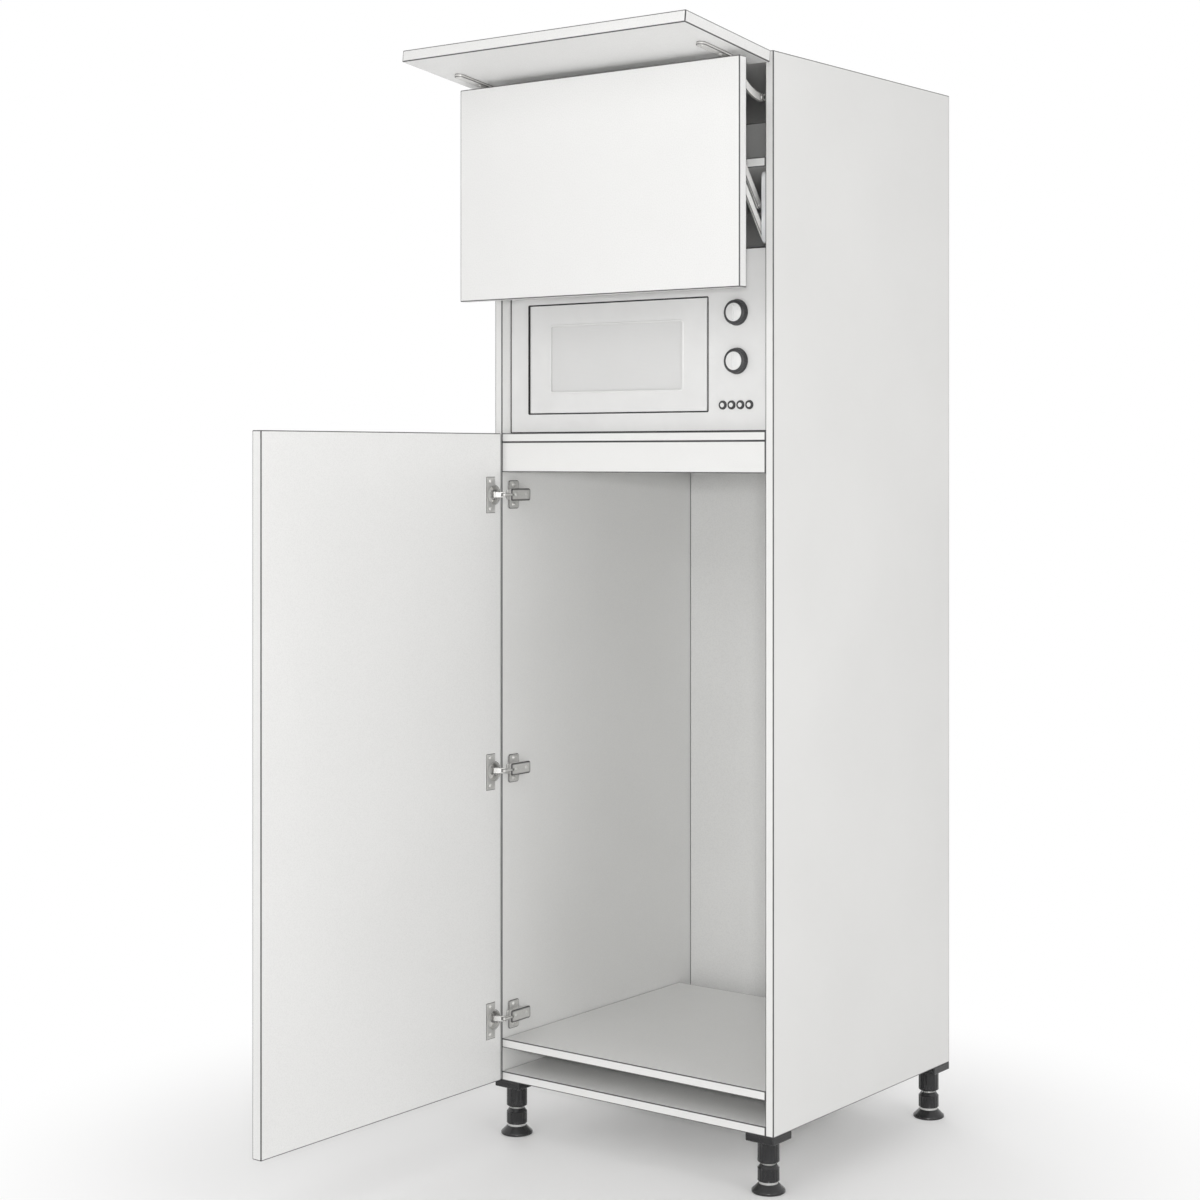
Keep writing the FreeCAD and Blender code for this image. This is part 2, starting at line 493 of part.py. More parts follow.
def build_stay():
    """Lever and curved link on each side that carry the flap, side by side as a parallelogram."""
    # the flap's whole swing as one turn about a single point
    start = FreeCAD.Vector(0, -size("front_gap"), flap_top)
    shift = flap_pose.multVec(start) - start
    half = math.tan(math.radians(size("flap_angle") / 2))
    centre = start + shift / 2 + FreeCAD.Vector(0, shift.z, -shift.y) / 2 / half
    anchor = (centre + front_pose("flap", size("flap_angle") / 2).multVec(centre)) / 2
    pin_out = size("front_gap") - size("stay_pin_behind")
    pin_up = flap_top - size("stay_pin_down")
    lever_long = math.hypot(pin_out + centre.y, pin_up - centre.z)
    lever_lean = math.degrees(math.atan2(pin_up - centre.z, pin_out + centre.y))
    pivot_out = -size("stay_pivot_back")
    pivot_up = flap_top - size("stay_pivot_drop")
    link_long = math.hypot(-anchor.y - pivot_out, anchor.z - pivot_up)
    link_lean = math.degrees(math.atan2(anchor.z - pivot_up, -anchor.y - pivot_out))
    open_lean = lever_lean + size("flap_angle")
    joint_out = pivot_out + lever_long * math.cos(math.radians(open_lean))
    joint_up = pivot_up + lever_long * math.sin(math.radians(open_lean))
    bow = size("stay_bow")
    bend = (link_long ** 2 / 4 + bow ** 2) / (2 * bow)
    sweep = 2 * math.degrees(math.asin(link_long / 2 / bend))

    lever_inset = size("stay_box_thick") + size("layer_gap")
    link_inset = lever_inset + size("stay_arm_thick") + size("layer_gap")
    lug_inset = link_inset + size("stay_arm_thick") + size("layer_gap")
    boxes, levers, links, pivots, joints, bars, bar_pins = [], [], [], [], [], [], []
    for name, side in SIDES.items():
        case_x = layer(side, "0", "stay_box_thick")
        case = rounded(f"stay_case_{name}", case_x, "stay_pivot_back - stay_box_half",
                       f"{FLAP_TOP} - stay_pivot_drop - stay_box_half", "stay_box_thick",
                       "2 * stay_box_half", "2 * stay_box_half", "box_round")
        pivot_hole = rod(f"stay_pivot_hole_{name}", "x", case_x, "stay_pivot_back",
                         f"{FLAP_TOP} - stay_pivot_drop", "stay_pin", "stay_box_thick")
        boxes.append(cut(f"stay_box_{name}", case, pivot_hole))
        span = "(stay_box_thick + layer_gap + stay_arm_thick)"
        pivots.append(rod(f"stay_pivot_{name}", "x", layer(side, "0", span), "stay_pivot_back",
                          f"{FLAP_TOP} - stay_pivot_drop", "stay_pin", span))
        lever = bar(f"stay_lever_{name}", str(lever_long), "stay_arm_wide", "stay_arm_thick",
                    "stay_pin + run_gap", "stay_pin")
        lever_x = layer_number(side, lever_inset, size("stay_arm_thick"))
        lever.Placement = across(lever_x, pivot_out, pivot_up, open_lean)
        levers.append(lever)
        link = curved_bar(f"stay_link_{name}", link_long, bend, sweep)
        link_x = layer_number(side, link_inset, size("stay_arm_thick"))
        link.Placement = across(link_x, joint_out, joint_up, link_lean)
        links.append(link)
        joint = rod(f"stay_joint_{name}", "z", "0", "0", "0", "stay_pin", "2 * stay_arm_thick + layer_gap")
        joint_set = group(f"stay_joint_at_{name}", [joint])
        joint_x = min(lever_x, link_x)
        joint_set.Placement = across(joint_x, joint_out, joint_up, 0)
        joints.append(joint_set)
        rail_x = layer(side, str(lug_inset), "bar_wide")
        rail = box(f"flap_bar_{name}", rail_x, "-front_gap", f"{FLAP_TOP} - bar_end + bar_wide / 2",
                   "bar_wide", "bar_thick", "bar_end - bar_start - bar_wide")
        rail_ends = [
            rod(f"flap_bar_{end}_{name}", "y", f"{rail_x} + bar_wide / 2", "-front_gap", z, "bar_wide / 2",
                "bar_thick")
            for end, z in (("first", f"{FLAP_TOP} - bar_start - bar_wide / 2"),
                           ("last", f"{FLAP_TOP} - bar_end + bar_wide / 2"))
        ]
        lug_x = layer(side, str(lug_inset), "stay_lug_thick")
        lug = box(f"flap_lug_{name}", lug_x, "-front_gap", f"{FLAP_TOP} - stay_pin_down - stay_lug_half",
                  "stay_lug_thick", "stay_pin_behind", "2 * stay_lug_half")
        lug_round = rod(f"flap_lug_round_{name}", "x", lug_x, "stay_pin_behind - front_gap",
                        f"{FLAP_TOP} - stay_pin_down", "stay_lug_half", "stay_lug_thick")
        lug_hole = rod(f"flap_lug_hole_{name}", "x", lug_x, "stay_pin_behind - front_gap",
                       f"{FLAP_TOP} - stay_pin_down", "stay_pin", "stay_lug_thick")
        rail_solid = fuse(f"flap_rail_solid_{name}", rail, *rail_ends, lug, lug_round)
        bars.append(cut(f"flap_rail_{name}", rail_solid, lug_hole))
        reach = f"({lug_inset - link_inset} + stay_lug_thick)"
        bar_pins.append(rod(f"flap_rail_pin_{name}", "x", layer(side, str(link_inset), reach),
                            "stay_pin_behind - front_gap", f"{FLAP_TOP} - stay_pin_down", "stay_pin", reach))
    node("stay_housings", group("stay_box_set", boxes))
    node("stay_pivot_pins", group("stay_pivot_set", pivots))
    node("stay_levers", group("stay_lever_set", levers))
    node("stay_joint_pins", group("stay_joint_set", joints))
    node("stay_links", group("stay_link_set", links))
    node("flap_rails", group("flap_rail_set", bars), flap_pose)
    node("flap_rail_pins", group("flap_rail_pin_set", bar_pins), flap_pose)


def curved_bar(name, long, bend, sweep):
    """A flat link bowed downward, from the eye on the lever to the eye round the flap's pin."""
    rise = math.sqrt(bend ** 2 - long ** 2 / 4)
    sector = doc.addObject("Part::Cylinder", name + "_sector")
    sector.setExpression("Radius", bound(f"{bend} + stay_arm_wide / 2"))
    sector.setExpression("Height", bound("stay_arm_thick"))
    sector.Angle = sweep
    sector.Placement = FreeCAD.Placement(
        FreeCAD.Vector(long / 2, -rise, 0), FreeCAD.Rotation(FreeCAD.Vector(0, 0, 1), 90 - sweep / 2)
    )
    inside = rod(name + "_inside", "z", str(long / 2), str(-rise), "-overcut", f"{bend} - stay_arm_wide / 2",
                 "stay_arm_thick + 2 * overcut")
    eyes = [
        rod(f"{name}_eye_{end}", "z", str(x), "0", "0", "stay_arm_wide / 2", "stay_arm_thick")
        for end, x in (("lever", 0), ("flap", long))
    ]
    holes = [
        rod(f"{name}_hole_{end}", "z", str(x), "0", "-overcut", radius, "stay_arm_thick + 2 * overcut")
        for end, x, radius in (("lever", 0, "stay_pin + run_gap"), ("flap", long, "stay_pin + stay_play"))
    ]
    return cut(name, fuse(name + "_solid", cut(name + "_band", sector, inside), *eyes), *holes)


def build_lift():
    """The lower front, carried by two parallel arms on each side."""
    panel = box("lift_board", "-width / 2 + edge_reveal", "-front_gap - front_board", LIFT_LOW,
                "width - 2 * edge_reveal", "front_board", LIFT_TALL)
    node("lift_front_panel", group("lift_front_at", [panel]), lift_pose)
    pivot_low = upper_under - size("lift_pivot_drop")
    # from the side panel inward: housing, lower arm, bracket, upper arm
    lower_inset = "(lift_box_thick + layer_gap)"
    plate_inset = f"({lower_inset} + lift_arm_thick + layer_gap)"
    upper_inset = f"({plate_inset} + bracket_thick + layer_gap)"
    lower_depth = size("lift_box_thick") + size("layer_gap")
    upper_depth = lower_depth + size("lift_arm_thick") + size("bracket_thick") + 2 * size("layer_gap")
    open_lean = lift_turn - 90
    boxes, pivots, brackets, bracket_pins = [], [], [], []
    arms = {"lower": [], "upper": []}
    for name, side in SIDES.items():
        case = rounded(f"lift_case_{name}", layer(side, "0", "lift_box_thick"), "lift_box_front",
                       f"{UPPER} - lift_box_drop - lift_box_tall", "lift_box_thick", "lift_box_deep",
                       "lift_box_tall", "box_round")
        plate = box(f"bracket_plate_{name}", layer(side, plate_inset, "bracket_thick"), "-front_gap",
                    f"{LIFT_PIVOT} - {LIFT_ARM} - bracket_end", "bracket_thick",
                    "front_gap + lift_pivot_back + bracket_lip", "lift_pitch + 2 * bracket_end")
        foot = box(f"bracket_foot_{name}", layer(side, plate_inset, "bracket_foot"), "-front_gap",
                   f"{LIFT_PIVOT} - {LIFT_ARM} - bracket_end", "bracket_foot", "bracket_foot_thick",
                   "lift_pitch + 2 * bracket_end")
        case_holes, plate_holes = [], []
        levels = (("lower", "0", lower_inset, lower_inset), ("upper", "lift_pitch", upper_inset, plate_inset))
        for level, up, arm_inset, pin_inset in levels:
            tag = f"{name}_{level}"
            pivot = f"{LIFT_PIVOT} + {up}"
            reach = f"({arm_inset} + lift_arm_thick)"
            case_holes.append(rod(f"lift_pivot_hole_{tag}", "x", layer(side, "0", "lift_box_thick"),
                                  "lift_pivot_back", pivot, "lift_pin", "lift_box_thick"))
            pivots.append(rod(f"lift_pivot_{tag}", "x", layer(side, "0", reach), "lift_pivot_back", pivot,
                              "lift_pin", reach))
            plate_holes.append(rod(f"bracket_hole_{tag}", "x", layer(side, plate_inset, "bracket_thick"),
                                   "lift_pivot_back", f"{pivot} - {LIFT_ARM}", "lift_pin", "bracket_thick"))
            pin_reach = "(lift_arm_thick + layer_gap + bracket_thick)"
            bracket_pins.append(rod(f"bracket_pin_{tag}", "x", layer(side, pin_inset, pin_reach),
                                    "lift_pivot_back", f"{pivot} - {LIFT_ARM}", "lift_pin", pin_reach))
            last = "lift_pin + run_gap" if level == "lower" else "lift_pin + open_gap"
            arm = bar(f"lift_arm_{tag}", LIFT_ARM, "lift_arm_wide", "lift_arm_thick",
                      "lift_pin + run_gap", last)
            x = layer_number(side, lower_depth if level == "lower" else upper_depth, size("lift_arm_thick"))
            up_number = pivot_low + (size("lift_pitch") if level == "upper" else 0)
            arm.Placement = across(x, -size("lift_pivot_back"), up_number, open_lean)
            arms[level].append(arm)
        boxes.append(cut(f"lift_box_{name}", case, *case_holes))
        brackets.append(cut(f"bracket_{name}", fuse(f"bracket_solid_{name}", plate, foot), *plate_holes))
    node("lift_housings", group("lift_box_set", boxes))
    node("lift_pivot_pins", group("lift_pivot_set", pivots))
    node("lift_arms_lower", group("lift_lower_set", arms["lower"]))
    node("lift_arms_upper", group("lift_upper_set", arms["upper"]))
    node("lift_brackets", group("bracket_set", brackets), lift_pose)
    node("lift_bracket_pins", group("bracket_pin_set", bracket_pins), lift_pose)


def build_oven():
    """The built-in microwave: casing, cavity, fascia, door and controls."""
    front = "oven_recess"
    behind = "(oven_recess + fascia_thick)"
    side = f"({INNER} - oven_side_gap)"
    door_y = "(oven_recess - oven_door_proud)"
    pin_y = f"({door_y} + oven_door_thick / 2)"
    door_left = f"(oven_door_margin - {side})"
    door_wide = f"(2 * {side} - oven_door_margin - oven_panel_wide)"
    door_tall = "(oven_tall - oven_door_low - oven_brow)"
    door_low = f"({OVEN} + oven_door_low)"
    door_high = f"({door_low} + {door_tall})"
    pin_x = f"({door_left} + oven_door_thick / 2)"
    cavity_left = f"({door_left} + cavity_margin)"
    cavity_wide = f"({door_wide} - 2 * cavity_margin)"
    cavity_low = f"({door_low} + cavity_rise)"
    cavity_tall = f"({door_tall} - cavity_rise - cavity_drop)"
    control_left = f"({side} - control_inset - control_wide)"
    control_tall = "(oven_tall - control_low - control_drop)"
    knob_x = f"({side} - knob_inset)"
    knobs = {"power": "knob_high", "timer": "knob_low"}
    buttons = [f"({side} - button_inset - {count} * button_pitch)" for count in reversed(range(4))]

    fascia = box("fascia_block", f"-{side}", front, f"{OVEN} + oven_low_gap", f"2 * {side}", "fascia_thick",
                 "oven_tall - oven_low_gap")
    opening = box("fascia_opening", f"{door_left} - oven_door_gap", f"{front} - overcut",
                  f"{door_low} - oven_door_gap", f"{door_wide} + 2 * oven_door_gap",
                  "fascia_thick + 2 * overcut", f"{door_tall} + 2 * oven_door_gap")
    pocket = box("fascia_pocket", control_left, f"{front} + fascia_wall", f"{OVEN} + control_low",
                 "control_wide", "fascia_thick", control_tall)
    stem_holes = [
        rod(f"fascia_stem_{name}", "y", knob_x, f"{front} - overcut", f"{OVEN} + {up}",
            "knob_stem + knob_gap", "fascia_wall + 2 * overcut")
        for name, up in knobs.items()
    ]
    button_holes = [
        rod(f"fascia_button_{count}", "y", x, f"{front} - overcut", f"{OVEN} + button_up",
            "button_radius + button_gap", "fascia_wall + 2 * overcut")
        for count, x in enumerate(buttons, 1)
    ]
    pin_ends = {
        "low": (f"{door_low} - oven_door_gap - oven_pin_fix", f"{door_low} + oven_pin_door"),
        "high": (f"{door_high} - oven_pin_door", f"{door_high} + oven_door_gap + oven_pin_fix"),
    }
    pin_holes = [
        rod(f"fascia_pin_{end}", "z", pin_x, pin_y, low, "oven_pin", f"{high} - ({low})")
        for end, (low, high) in pin_ends.items()
    ]
    node("mw_fascia", cut("fascia_cut", fascia, opening, pocket, *stem_holes, *button_holes, *pin_holes))
    pins = [
        rod(f"oven_pin_{end}", "z", pin_x, pin_y, low, "oven_pin", f"{high} - ({low})")
        for end, (low, high) in pin_ends.items()
    ]
    node("mw_hinge_pins", group("oven_pin_set", pins))

    edge = rod("oven_door_edge", "z", pin_x, pin_y, door_low, "oven_door_thick / 2", door_tall)
    slab = box("oven_door_slab", pin_x, door_y, door_low, f"{door_wide} - oven_door_thick / 2",
               "oven_door_thick", door_tall)
    glass_x = f"({door_left} + window_side)"
    glass_wide = f"({door_wide} - 2 * window_side)"
    glass_z = f"({door_low} + window_edge)"
    glass_tall = f"({door_tall} - 2 * window_edge)"
    view = box("oven_view", glass_x, f"{door_y} - overcut", glass_z, glass_wide,
               "oven_door_thick + 2 * overcut", glass_tall)
    rebate = box("oven_rebate", f"{glass_x} - glass_lap", f"{door_y} + glass_cover", f"{glass_z} - glass_lap",
                 f"{glass_wide} + 2 * glass_lap", "oven_glass_thick", f"{glass_tall} + 2 * glass_lap")
    door_holes = [
        rod(f"oven_door_hole_{end}", "z", pin_x, pin_y, low, "oven_pin + run_gap", f"{high} - ({low})")
        for end, (low, high) in pin_ends.items()
    ]
    frame = cut("oven_door_cut", fuse("oven_door_solid", edge, slab), view, rebate, *door_holes)
    node("mw_door_frame", frame)
    pane = box("oven_pane", f"{glass_x} - glass_lap", f"{door_y} + glass_cover", f"{glass_z} - glass_lap",
               f"{glass_wide} + 2 * glass_lap", "oven_glass_thick", f"{glass_tall} + 2 * glass_lap")
    node("mw_door_glass", pane)

    casing_x = f"({side} - casing_side)"
    casing_low = f"({OVEN} + casing_low)"
    casing_tall = "(oven_tall - casing_low - casing_drop)"
    shell = box("casing_block", f"-{casing_x}", behind, casing_low, f"2 * {casing_x}", "casing_deep",
                casing_tall)
    hollow = box("casing_hollow", f"-{casing_x} + casing_wall", f"{behind} + casing_front",
                 f"{casing_low} + casing_wall", f"2 * {casing_x} - 2 * casing_wall",
                 "casing_deep - casing_front - casing_wall", f"{casing_tall} - 2 * casing_wall")
    mouth = box("casing_mouth", f"{cavity_left} + mouth_lip", f"{behind} - overcut",
                f"{cavity_low} + mouth_lip", f"{cavity_wide} - 2 * mouth_lip",
                "casing_front + 2 * overcut", f"{cavity_tall} - 2 * mouth_lip")
    node("mw_casing", cut("casing_cut", shell, hollow, mouth))
    liner_y = f"({behind} + casing_front)"
    liner = box("cavity_block", cavity_left, liner_y, cavity_low, cavity_wide, "cavity_deep", cavity_tall)
    room = box("cavity_room", f"{cavity_left} + cavity_wall", f"{liner_y} - overcut",
               f"{cavity_low} + cavity_wall", f"{cavity_wide} - 2 * cavity_wall",
               "cavity_deep + overcut - cavity_wall", f"{cavity_tall} - 2 * cavity_wall")
    turn_x = f"({cavity_left} + {cavity_wide} / 2)"
    turn_y = f"({liner_y} + cavity_deep / 2)"
    spindle_hole = rod("cavity_spindle", "z", turn_x, turn_y, f"{cavity_low} - overcut", "spindle_hole",
                       "cavity_wall + 2 * overcut")
    node("mw_cavity", cut("cavity_cut", liner, room, spindle_hole))
    motor_low = f"({casing_low} + casing_wall)"
    plate_low = f"({cavity_low} + cavity_wall + plate_lift)"
    motor = fuse(
        "motor_solid",
        rod("motor_drum", "z", turn_x, turn_y, motor_low, "motor_radius", f"{cavity_low} - {motor_low}"),
        rod("motor_spindle", "z", turn_x, turn_y, motor_low, "spindle", f"{plate_low} - {motor_low}"),
    )
    node("mw_turntable_motor", motor)
    hub_low = f"({cavity_low} + cavity_wall + knob_gap)"
    plate = cut(
        "turntable_cut",
        fuse(
            "turntable_solid",
            rod("turntable_disc", "z", turn_x, turn_y, plate_low, "plate_radius", "plate_thick"),
            rod("turntable_hub", "z", turn_x, turn_y, hub_low, "hub_radius",
                f"{plate_low} - {hub_low} + overcut"),
        ),
        rod("turntable_dish", "z", turn_x, turn_y, f"{plate_low} + plate_thick - plate_dish",
            "plate_radius - plate_rim", "plate_dish + overcut"),
        rod("turntable_bore", "z", turn_x, turn_y, f"{hub_low} - overcut", "spindle + run_gap",
            f"{plate_low} - {hub_low} + overcut + knob_gap"),
    )
    node("mw_turntable", plate)

    unit_y = f"({behind} - control_thick)"
    unit = box("control_block", control_left, unit_y, f"{OVEN} + control_low", "control_wide",
               "control_thick", control_tall)
    bores = [
        rod(f"control_bore_{name}", "y", knob_x, f"{unit_y} - overcut", f"{OVEN} + {up}",
            "knob_stem + run_gap", "control_thick")
        for name, up in knobs.items()
    ]
    node("mw_control_unit", cut("control_cut", unit, *bores))
    for name, up in knobs.items():
        z = f"{OVEN} + {up}"
        face = f"({front} - knob_gap - knob_long)"
        body = cone(f"knob_body_{name}", "y", knob_x, face, z, "knob_top", "knob_radius", "knob_long")
        stem = rod(f"knob_stem_{name}", "y", knob_x, f"{front} - knob_gap - overcut", z, "knob_stem",
                   "knob_stem_long + overcut")
        fin = box(f"knob_fin_{name}", f"{knob_x} - knob_fin / 2", f"{face} - knob_fin_rise",
                  f"{z} - knob_top", "knob_fin", "knob_fin_rise + overcut", "2 * knob_top")
        trim = rod(f"knob_trim_{name}", "y", knob_x, f"{face} - knob_fin_rise - overcut", z, "knob_top",
                   "knob_fin_rise + 3 * overcut")
        ridge = doc.addObject("Part::Common", f"knob_ridge_{name}")
        ridge.Base = fin
        ridge.Tool = trim
        node(f"mw_knob_{name}", fuse(f"knob_{name}", body, stem, ridge))
    for count, x in enumerate(buttons, 1):
        z = f"{OVEN} + button_up"
        inner = f"({front} + fascia_wall + button_gap)"
        cap = rod(f"button_cap_{count}", "y", x, f"{front} - button_proud", z, "button_radius",
                  f"{inner} - {front} + button_proud + button_collar_thick")
        collar = rod(f"button_flange_{count}", "y", x, inner, z, "button_collar", "button_collar_thick")
        node(f"mw_button_{count}", fuse(f"button_{count}", cap, collar))
    feet = []
    foot_rows = {
        "front": f"{behind} + oven_foot_inset", "back": f"{behind} + casing_deep - oven_foot_inset",
    }
    for name, sign in SIDES.items():
        for end, y in foot_rows.items():
            feet.append(rod(f"oven_foot_{name}_{end}", "z", f"{sign} * ({casing_x} - oven_foot_inset)", y,
                            OVEN, "oven_foot", "casing_low"))
    node("mw_feet", group("oven_foot_set", feet))


build_carcass()
build_feet()
build_door()
build_flap()
build_stay()
build_lift()
build_oven()
doc.recompute()

failed = [thing.Name for thing in doc.Objects if {"Invalid", "Error"} & set(thing.State)]
failed += [piece.Label for piece in nodes if piece.Shape.isNull() or not piece.Shape.isValid()]
if failed:
    raise SystemExit(f"these did not build: {failed}")
os.makedirs("parts", exist_ok=True)
for piece in nodes:
    piece.Shape.exportStep(f"parts/{piece.Label}.step")
print(f"{len(nodes)} nodes, {sum(len(piece.Shape.Solids) for piece in nodes)} solids")
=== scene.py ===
"""Looks of the tall appliance cabinet: its boards, fronts, fittings and built-in microwave.

Metres, in the frame's axes: X to the right, Y to the back, Z up, the floor at zero.
"""
import json
import math

import bpy
import numpy as np
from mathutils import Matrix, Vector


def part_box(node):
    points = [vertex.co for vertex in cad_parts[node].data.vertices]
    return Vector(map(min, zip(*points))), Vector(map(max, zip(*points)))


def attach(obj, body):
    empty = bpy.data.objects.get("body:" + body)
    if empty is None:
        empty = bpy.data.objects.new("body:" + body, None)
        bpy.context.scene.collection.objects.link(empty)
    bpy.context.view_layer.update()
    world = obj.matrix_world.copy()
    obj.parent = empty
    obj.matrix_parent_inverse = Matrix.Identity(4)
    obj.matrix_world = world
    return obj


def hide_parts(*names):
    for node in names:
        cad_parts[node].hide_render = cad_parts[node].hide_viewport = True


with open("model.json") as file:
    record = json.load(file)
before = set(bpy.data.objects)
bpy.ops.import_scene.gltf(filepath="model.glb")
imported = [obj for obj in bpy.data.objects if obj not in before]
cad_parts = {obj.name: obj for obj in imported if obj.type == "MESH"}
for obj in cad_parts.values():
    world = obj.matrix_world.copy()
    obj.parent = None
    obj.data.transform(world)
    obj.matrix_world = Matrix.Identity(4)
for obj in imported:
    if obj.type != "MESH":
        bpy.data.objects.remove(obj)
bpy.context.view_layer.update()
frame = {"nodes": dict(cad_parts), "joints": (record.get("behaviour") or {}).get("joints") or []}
scene = bpy.context.scene

# Viewing place
# A level view from the front right through a long lens, as the drawing was set up.
# The lens is shifted down, so that the uprights stay upright and the feet are in the picture.
view = bpy.data.cameras.new("drawing_view")
view.sensor_width = 36.0
view.lens = 67.99
view.shift_y = -0.1185
camera = bpy.data.objects.new("drawing_view", view)
camera.location = (2.3463, -3.1520, 1.2257)
camera.rotation_euler = (math.radians(90), 0, math.radians(37.368))
scene.collection.objects.link(camera)
scene.camera = camera
scene.view_settings.view_transform = "Standard"

# Studio
# A white paper sweep under four soft lamps: above the front, at the right, a small one by the viewer and one
# behind at the left. The floor takes the shadow near the feet and runs out into plain white further away.


def plugged(tree, node, inputs):
    """Give a node its inputs: each is wired from a socket or set to a value."""
    for place, value in inputs.items():
        if isinstance(value, bpy.types.NodeSocket):
            tree.links.new(value, node.inputs[place])
        else:
            node.inputs[place].default_value = value
    return node


def wired(tree, kind, inputs, **settings):
    """A new node of that kind, with its settings and its inputs."""
    fresh = tree.nodes.new("ShaderNode" + kind)
    for setting, value in settings.items():
        setattr(fresh, setting, value)
    return plugged(tree, fresh, inputs)


def sums(tree, kind, first, second):
    """What a Math node of that kind makes of two sockets."""
    return wired(tree, "Math", {0: first, 1: second}, operation=kind).outputs[0]


def seen_directly(tree):
    """1 for what the camera sees straight, in a gloss or through glass, otherwise 0."""
    rays = wired(tree, "LightPath", {}).outputs
    mirrored = sums(tree, "MAXIMUM", rays["Is Glossy Ray"], rays["Is Transmission Ray"])
    return sums(tree, "MAXIMUM", rays["Is Camera Ray"], mirrored)


world = bpy.data.worlds.new("studio")
scene.world = world
world.use_nodes = True
sky = world.node_tree
sky.nodes.clear()
fill = wired(sky, "Background", {"Color": (1.0, 0.99, 0.98, 1), "Strength": 0.53})
white = wired(sky, "Background", {"Color": (1, 1, 1, 1), "Strength": 1.0})
choice = wired(sky, "MixShader", {0: seen_directly(sky), 1: fill.outputs[0], 2: white.outputs[0]})
wired(sky, "OutputWorld", {"Surface": choice.outputs[0]})


def soft_lamp(name, place, target, size, power):
    """A square area lamp that faces the target: turned by its compass angle, tipped by its slope."""
    lamp = bpy.data.lights.new(name, "AREA")
    lamp.size = size
    lamp.energy = power
    stand = bpy.data.objects.new(name, lamp)
    stand.location = place
    aim = np.subtract(target, place)
    turn = math.atan2(-aim[0], aim[1])
    dip = math.atan2(aim[2], math.hypot(aim[0], aim[1]))
    stand.rotation_euler = (math.pi / 2 + dip, 0, turn)
    scene.collection.objects.link(stand)


soft_lamp("lamp_front", (0.3, -4.6, 3.6), (0.0, 0.0, 1.0), 2.6, 32)
soft_lamp("lamp_right", (4.2, -0.6, 2.6), (0.0, 0.0, 0.9), 2.2, 26)
soft_lamp("lamp_viewer", (2.42, -3.27, 1.32), (0.0, 0.0, 1.2), 0.32, 66)
soft_lamp("lamp_back", (-3.6, 3.2, 3.0), (0.0, 0.0, 0.9), 2.4, 40)


def blank_finish(name, roughness, metal=0.0):
    """A new finish: its material, node tree, shader and Object coordinates."""
    finish = bpy.data.materials.new(name)
    finish.use_nodes = True
    tree = finish.node_tree
    shader = plugged(tree, tree.nodes["Principled BSDF"], {"Roughness": roughness, "Metallic": metal})
    return finish, tree, shader, wired(tree, "TexCoord", {}).outputs["Object"]


FLOOR_REACH, SHADOW_NEAR, SHADOW_FAR = 9.0, 0.35, 1.25
floor_mesh = bpy.data.meshes.new("studio_floor")
floor_corners = FLOOR_REACH * np.array([(-1, -1, 0), (1, -1, 0), (1, 1, 0), (-1, 1, 0)])
floor_mesh.from_pydata(floor_corners, [], [(0, 1, 2, 3)])
floor = bpy.data.objects.new("studio_floor", floor_mesh)
scene.collection.objects.link(floor)
paper, tree, shader, place = blank_finish("studio_paper", 0.9)
plugged(tree, shader, {"Base Color": (0.93, 0.93, 0.93, 1)})
reach = wired(tree, "VectorMath", {0: place}, operation="LENGTH").outputs["Value"]
fade = wired(tree, "MapRange", {"Value": reach, "From Min": SHADOW_NEAR, "From Max": SHADOW_FAR},
             interpolation_type="SMOOTHSTEP").outputs[0]
glow = wired(tree, "Emission", {})
share = sums(tree, "MULTIPLY", fade, seen_directly(tree))
mix = wired(tree, "MixShader", {0: share, 1: shader.outputs[0], 2: glow.outputs[0]})
plugged(tree, tree.nodes["Material Output"], {"Surface": mix.outputs[0]})
floor_mesh.materials.append(paper)

# Carcass boards
# Melamine-faced chipboard, sawn to size and edged with a thin plastic strip. The glue line of the strip
# shows as a fine dark line along every arris. The boards are dowelled together at right angles.
MM = 0.001


def mm(*sizes):
    """Sizes in millimetres, brought to metres."""
    return np.array(sizes) * MM


ARRIS = 1.1 * MM
LINE = 1.1 * MM
CREASE = math.radians(38)


def corners(node):
    """A node's lowest and highest corners at rest."""
    return np.array(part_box(node), float)


def corner_ring(wide, tall, round_off, beside):
    """A rounded rectangle about zero, and which of its points lie on its round corners.

    Each corner has six points: one beside the arc, four along its quarter circle, one after it.
    """
    start = np.radians([0, 90, 180, 270])
    sweep = start[:, None] + np.linspace(0, math.pi / 2, 4)
    signs = np.array([[1, 1], [-1, 1], [-1, -1], [1, -1]])
    middle = signs * (np.array([wide, tall]) / 2 - round_off)
    bend = middle[:, None] + round_off * np.stack((np.cos(sweep), np.sin(sweep)), axis=-1)
    before = bend[:, :1] - beside * np.stack((-np.sin(start), np.cos(start)), axis=-1)[:, None]
    after = bend[:, -1:] + beside * np.stack((-np.cos(start), -np.sin(start)), axis=-1)[:, None]
    points = np.concatenate((before, bend, after), axis=1).reshape(-1, 2)
    return points, np.tile([0.0, 1, 1, 1, 1, 0], 4)


